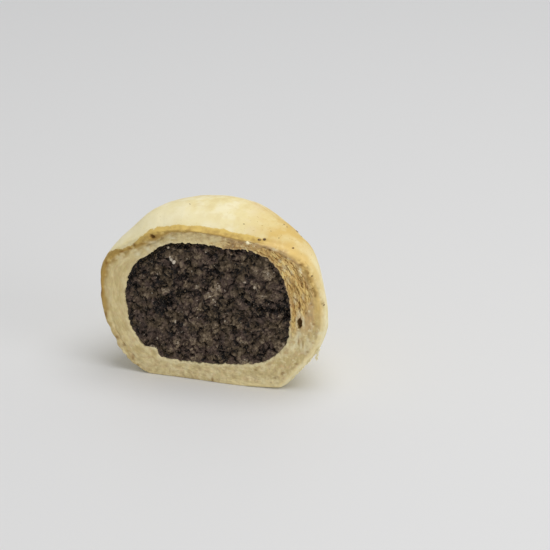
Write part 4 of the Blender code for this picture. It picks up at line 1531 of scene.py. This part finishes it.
# %% Colour the skin
layer = own("winding").math("FRACT", own("winding"))
behind = own("behind")
to_gold = own("skin_gold") * (blotch.ramp(0.34, 0.62) * 0.6 + mottle * 0.5 + 0.2)
browned = behind * patch.ramp(0.45, 0.62) * layer.ramp(0.35, 0.9) * (0.4 + skin_streak)
edge_line = behind * layer.ramp(0.93, 0.985) * layer.ramp(1.0, 0.988) * patch.ramp(0.4, 0.5)
wrinkle = behind * skin_streak.ramp(0.56, 0.60) * skin_streak.ramp(0.68, 0.62)
skin_colour = layered(bench, bench.mix(blotch.ramp(0.42, 0.66), SKIN, SKIN_PALE), (
    (skin_cloud.ramp(0.50, 0.64) * 0.35, SKIN_SHADE),
    (skin_cloud.ramp(0.48, 0.34) * 0.35, SKIN_PALE),
    (to_gold, SKIN_GOLD),
    # painted highlights on the skin
    (own("painted_highlight"), SKIN_PALE),
    (browned * 0.7, SKIN_BROWN),
    (edge_line * 0.6, OLIVE),
    (freckle * (0.2 + own("skin_gold") * 0.5), OLIVE),
    (wrinkle * 0.35, SKIN_BROWN),
))
print("skin coloured")

# %% [markdown]
# ## The cut's colours
#
# Cut dough is drier than skin, and its threads run along the wall, so the noises are
# stretched that way. Flakes are toasted and pale by turns, the lip is ochre going olive, and
# holes are painted dark as shade. The values kept on the mesh say where each of these is.

# %% Colour the cut
calm = own("calm")
lively = 1.2 - calm * 0.75
restless = 1.0 - calm
terrace = own("terrace")
# Dough is made paler along the edge against the filling.
pale_by_filling = own("from_filling").ramp(1.2, 0.2) * (0.1 + mottle * 0.8) * lively
over_floor = bench.add("ShaderNodeSeparateXYZ", None, {0: place_on}, 2)
toasty = own("toasted") * (streak * 0.5 + mottle * 0.7).ramp(0.44, 0.72)
dough = layered(bench, bench.mix(streak.ramp(0.34, 0.66) * 0.8, DOUGH, DOUGH_SHADE), (
    (cloud.ramp(0.44, 0.64) * lively * 0.85, DOUGH_ROSE),
    (mottle.ramp(0.49, 0.68) * lively * 0.8, DOUGH_SHADE),
    (mottle.ramp(0.49, 0.30) * lively * 0.55, DOUGH_PALE),
    (thread.ramp(0.48, 0.66) * 0.38, DOUGH_ROSE),
    (thread.ramp(0.44, 0.30) * 0.30, DOUGH_PALE),
    (smear.ramp(0.44, 0.70) * lively * 0.75, DOUGH_SHADE),
    (smear.ramp(0.52, 0.28) * lively * 0.5, DOUGH_PALE),
    (pale_by_filling, DOUGH_PALE),
    # Painted light: the lowest few mm of the cut are made paler, against the shade near the floor.
    (over_floor.ramp(7.0 * MM, 3.0 * MM) * 0.22, DOUGH_PALE),
    (toasty * 0.8, TOAST),
    (own("rosy") * (0.35 + mottle * 0.7), BEIGE),
    (spots.ramp(0.52, 0.66) * restless * 0.6, DOUGH_GREY),
    (spots.ramp(0.46, 0.34) * restless * 0.6, DOUGH_PALE),
))
# Flakes are coloured by their height over their own toasted tones: lower ones browner and the gaps
# dark brown as painted shade, the highest cream as painted highlight.
flake_colour = layered(bench, bench.mix(terrace.ramp(0.25, 0.5), FLAKE_BROWN, FLAKE_TAN), (
    (terrace.ramp(0.52, 0.78), FLAKE_CREAM),
    (own("gap") * 0.30, DARK_BROWN),
    (mottle.ramp(0.54, 0.66) * 0.5, TOAST),
    (blotch.ramp(0.50, 0.62) * 0.2, FLAKE_BROWN),
))
# Painted shade below the lip to the upper right, and painted light just under the lip at the top.
dusk = own("shade_below_lip") * (mottle * 0.7 + spots * 0.5).ramp(0.55, 0.68)
painted_light_under_lip = own("painted_light_under_lip") * (mottle * 0.6 + smear * 0.6).ramp(0.78, 0.50)
amber = own("amber") * (mottle * 0.7 + spots * 0.5).ramp(0.50, 0.62)
into_band = own("band_depth") + (streak - 0.5) * 1.2 + (mottle - 0.5) * 1.8
aged = calm * (0.3 + mottle * 0.9)
lip_colour = bench.mix(into_band.ramp(0.20, 0.95) * 0.95 + aged * 1.2, OCHRE, OLIVE)
rim_gold = own("old_gold") * (mottle * 0.6 + blotch * 0.6).ramp(0.44, 0.64)
rim_colour = bench.mix(mottle.ramp(0.30, 0.54), OCHRE, OLIVE)
# Painted shade: the crease under the lip and the flap line are coloured dark brown along their
# grooves.
crease = own("crease") * (streak * 0.5 + mottle * 0.7).ramp(0.45, 0.72)
cut_colour = layered(bench, dough, (
    (own("flaky") * 0.9, flake_colour),
    (dusk * 0.7, LIP_SHADE_TONE),
    (painted_light_under_lip, EDGE_PALE),
    (own("golden") * (0.4 + blotch * 0.9), EDGE_GOLD),
    (amber * 0.95, EDGE_BROWN),
    # painted highlight along the lower right rim of the cut
    (own("painted_highlight") * 0.8, EDGE_PALE),
    (own("band") * (0.3 + mottle * 1.3).ramp(0.45, 0.85), lip_colour),
    (rim_gold * 0.85, rim_colour),
    (own("pale_marks") * 0.85, SKIN_PALE),
    (crease * 0.25, DARK_BROWN),
    (own("dark_marks_and_shadows") * 0.7, MARK_BROWN),
    # Painted shade in the holes.
    (own("sunk").ramp(0.1, 1.2) * 0.8, DARK_BROWN),
))
print("cut coloured")

# %% Join skin and cut
on_cut = own("on_cut")
ragged_edge = (mottle - 0.5) * 0.9 + (skin_cloud - 0.5) * 1.8
past_edge = ((own("inset") + ragged_edge) / own("softness")).ramp(0.0, 0.4)
colour = layered(bench, skin_colour, (
    (past_edge, cut_colour),
    (own("tint").ramp(0.5, 1.0) * 0.6, FLAKE_CREAM),
    (own("tint").ramp(1.2, 1.8), SKIN_PALE),
    # Painted shade: the deepest hollows of the cut's relief are coloured browner.
    (own("height").ramp(-0.10, -0.55) * on_cut * 0.45, TOAST),
))
finish(bench, shader, colour, 0.72, 0.3, pores + fine_line * on_cut, 0.35, 0.12 * MM)
print("pastry finish has", len(bench.tree.nodes), "nodes")

# %% [markdown]
# ## Sesame
#
# Brown-black paste. Each lump and grain has a tint of its own, most of them dark, a few pale
# like ground husk. High lumps are painted lighter, and whatever lies deep, in joints, cracks
# and under the crust's edge, is painted darker still, as light and shade. One even colour
# would look like clay. Two hues, olive and plum, keep the dark parts from looking grey.

# %% Mix the sesame colours
PASTE_DARK = linear(20, 15, 12)
PASTE_OLIVE = linear(100, 84, 64)
PASTE_PLUM = linear(98, 80, 70)
PASTE_LIGHT = linear(154, 136, 112)
FLECK_BROWN = linear(88, 64, 38)
FLECK_OLIVE = linear(160, 126, 70)
HUSK = linear(236, 224, 204)

for material, fineness in ((paste, 0.55), (crumb, 0.40)):
    bench, shader, place_on = finish_bench(material)
    tint = kept(bench, "tint")
    speckle = bench.noise(place_on, fineness * MM, 3.0)
    broad = bench.noise(place_on, 4.5 * MM, 2.0, 3.0)
    hue = bench.noise(place_on, 3.0 * MM, 2.0, 41.0).ramp(0.40, 0.60)
    shade = tint * 0.34 + speckle * 0.44 + broad * 0.50 - 0.06
    if material is paste:
        # Light spots are the paste's own paler colour. Height makes high lumps lighter and hollows
        # darker, and deep places, the sunk rim and the joints are darker still: painted light and
        # shade.
        shade = shade + kept(bench, "light") * 0.80 + kept(bench, "height") * 0.38
        shade = shade - kept(bench, "deep") * 0.50 - kept(bench, "rim") * 0.50
        shade = shade - kept(bench, "joint") * 0.15 + 0.045
        husky = kept(bench, "light").ramp(0.5, 1.0) * speckle.ramp(0.42, 0.62) * 0.6
    else:
        shade = shade - 0.10
        husky = tint.ramp(0.975, 0.99) * 0.45 + tint.ramp(1.2, 1.8) * 0.45
    colour = layered(bench, PASTE_DARK, (
        (shade.ramp(0.12, 0.52), bench.mix(hue, PASTE_OLIVE, PASTE_PLUM)),
        (shade.ramp(0.52, 0.85), PASTE_LIGHT),
        (husky, HUSK),
    ))
    finish(bench, shader, colour, 0.62, 0.35, speckle, 0.3, 0.15 * MM)

bench, shader, place_on = finish_bench(fleck)
burnt = bench.noise(place_on, 0.6 * MM, 3.0).ramp(0.35, 0.65)
finish(bench, shader, bench.mix(burnt, FLECK_BROWN, FLECK_OLIVE), 0.7, 0.5)
print("sesame finishes ready")

# %% [markdown]
# ## Fit the pieces to the frame
#
# Each dressed piece rides on the part's one body and stands for its plain solid, which is
# hidden.

# %% Ride and replace
sesame_pieces = (filling, grains, grit_bits, flecks, husks)
pastry_pieces = (crust, flake_bits, slivers)
for thing in sesame_pieces + pastry_pieces:
    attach(thing, "root")
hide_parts("crust")
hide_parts("filling")
for thing in (crust, filling):
    thing.data.shade_smooth()
print("pieces:", [thing.name for thing in sesame_pieces + pastry_pieces])

# %% [markdown]
# ## Floor and light
#
# A pale matt floor, a big soft light overhead, a weaker one at the right like a window, and
# an even surrounding light that fills the cut. The overhead light stands almost above the
# cut, so that it grazes it and brings out its grain.

# %% Build the studio
FLOOR_RADIUS = 3.0
# Painted light: the floor is a little darker and cooler further from its middle, as falloff of the
# light.
FLOOR_NEAR = linear(230, 230, 230)
FLOOR_FAR = linear(226, 227, 229)
SURROUND = 0.39
LIGHTS = (
    ("key_light", 5.0, 0.8, Vector((0.20, 0.0, 0.92))),
    ("window_light", 1.2, 0.5, Vector((0.75, -0.28, 0.30))),
)

floor_mesh = bpy.data.meshes.new("floor")
rim_points = [(FLOOR_RADIUS * math.cos(a), FLOOR_RADIUS * math.sin(a), 0.0)
              for a in np.linspace(0.0, math.tau, 65)[:-1]]
floor_mesh.from_pydata(rim_points, [], [tuple(range(len(rim_points)))])
floor = new_object("floor", floor_mesh)
floor_material = bpy.data.materials.new("pale_floor")
floor_mesh.materials.append(floor_material)
bench, shader, spot_on_floor = finish_bench(floor_material)
away = bench.add("ShaderNodeVectorMath", {"operation": "LENGTH"}, {0: spot_on_floor}, 1)
floor_colour = bench.mix(away.ramp(0.05, 0.8), FLOOR_NEAR, FLOOR_FAR)
finish(bench, shader, floor_colour, 0.5, 0.2)

world = bpy.data.worlds.new("studio")
bpy.context.scene.world = world
world.use_nodes = True
surround = world.node_tree.nodes["Background"]
surround.inputs["Color"].default_value = (1.0, 1.0, 1.0, 1.0)
surround.inputs["Strength"].default_value = SURROUND

for name, watts, size, spot_of_light in LIGHTS:
    light = new_object(name, bpy.data.lights.new(name, "AREA"))
    light.data.shape = "DISK"
    light.data.size = size
    light.data.energy = watts
    light.location = spot_of_light
    light.rotation_euler = spot_of_light.to_track_quat("Z", "Y").to_euler()
bpy.context.scene.view_settings.view_transform = "Standard"
print("studio ready")
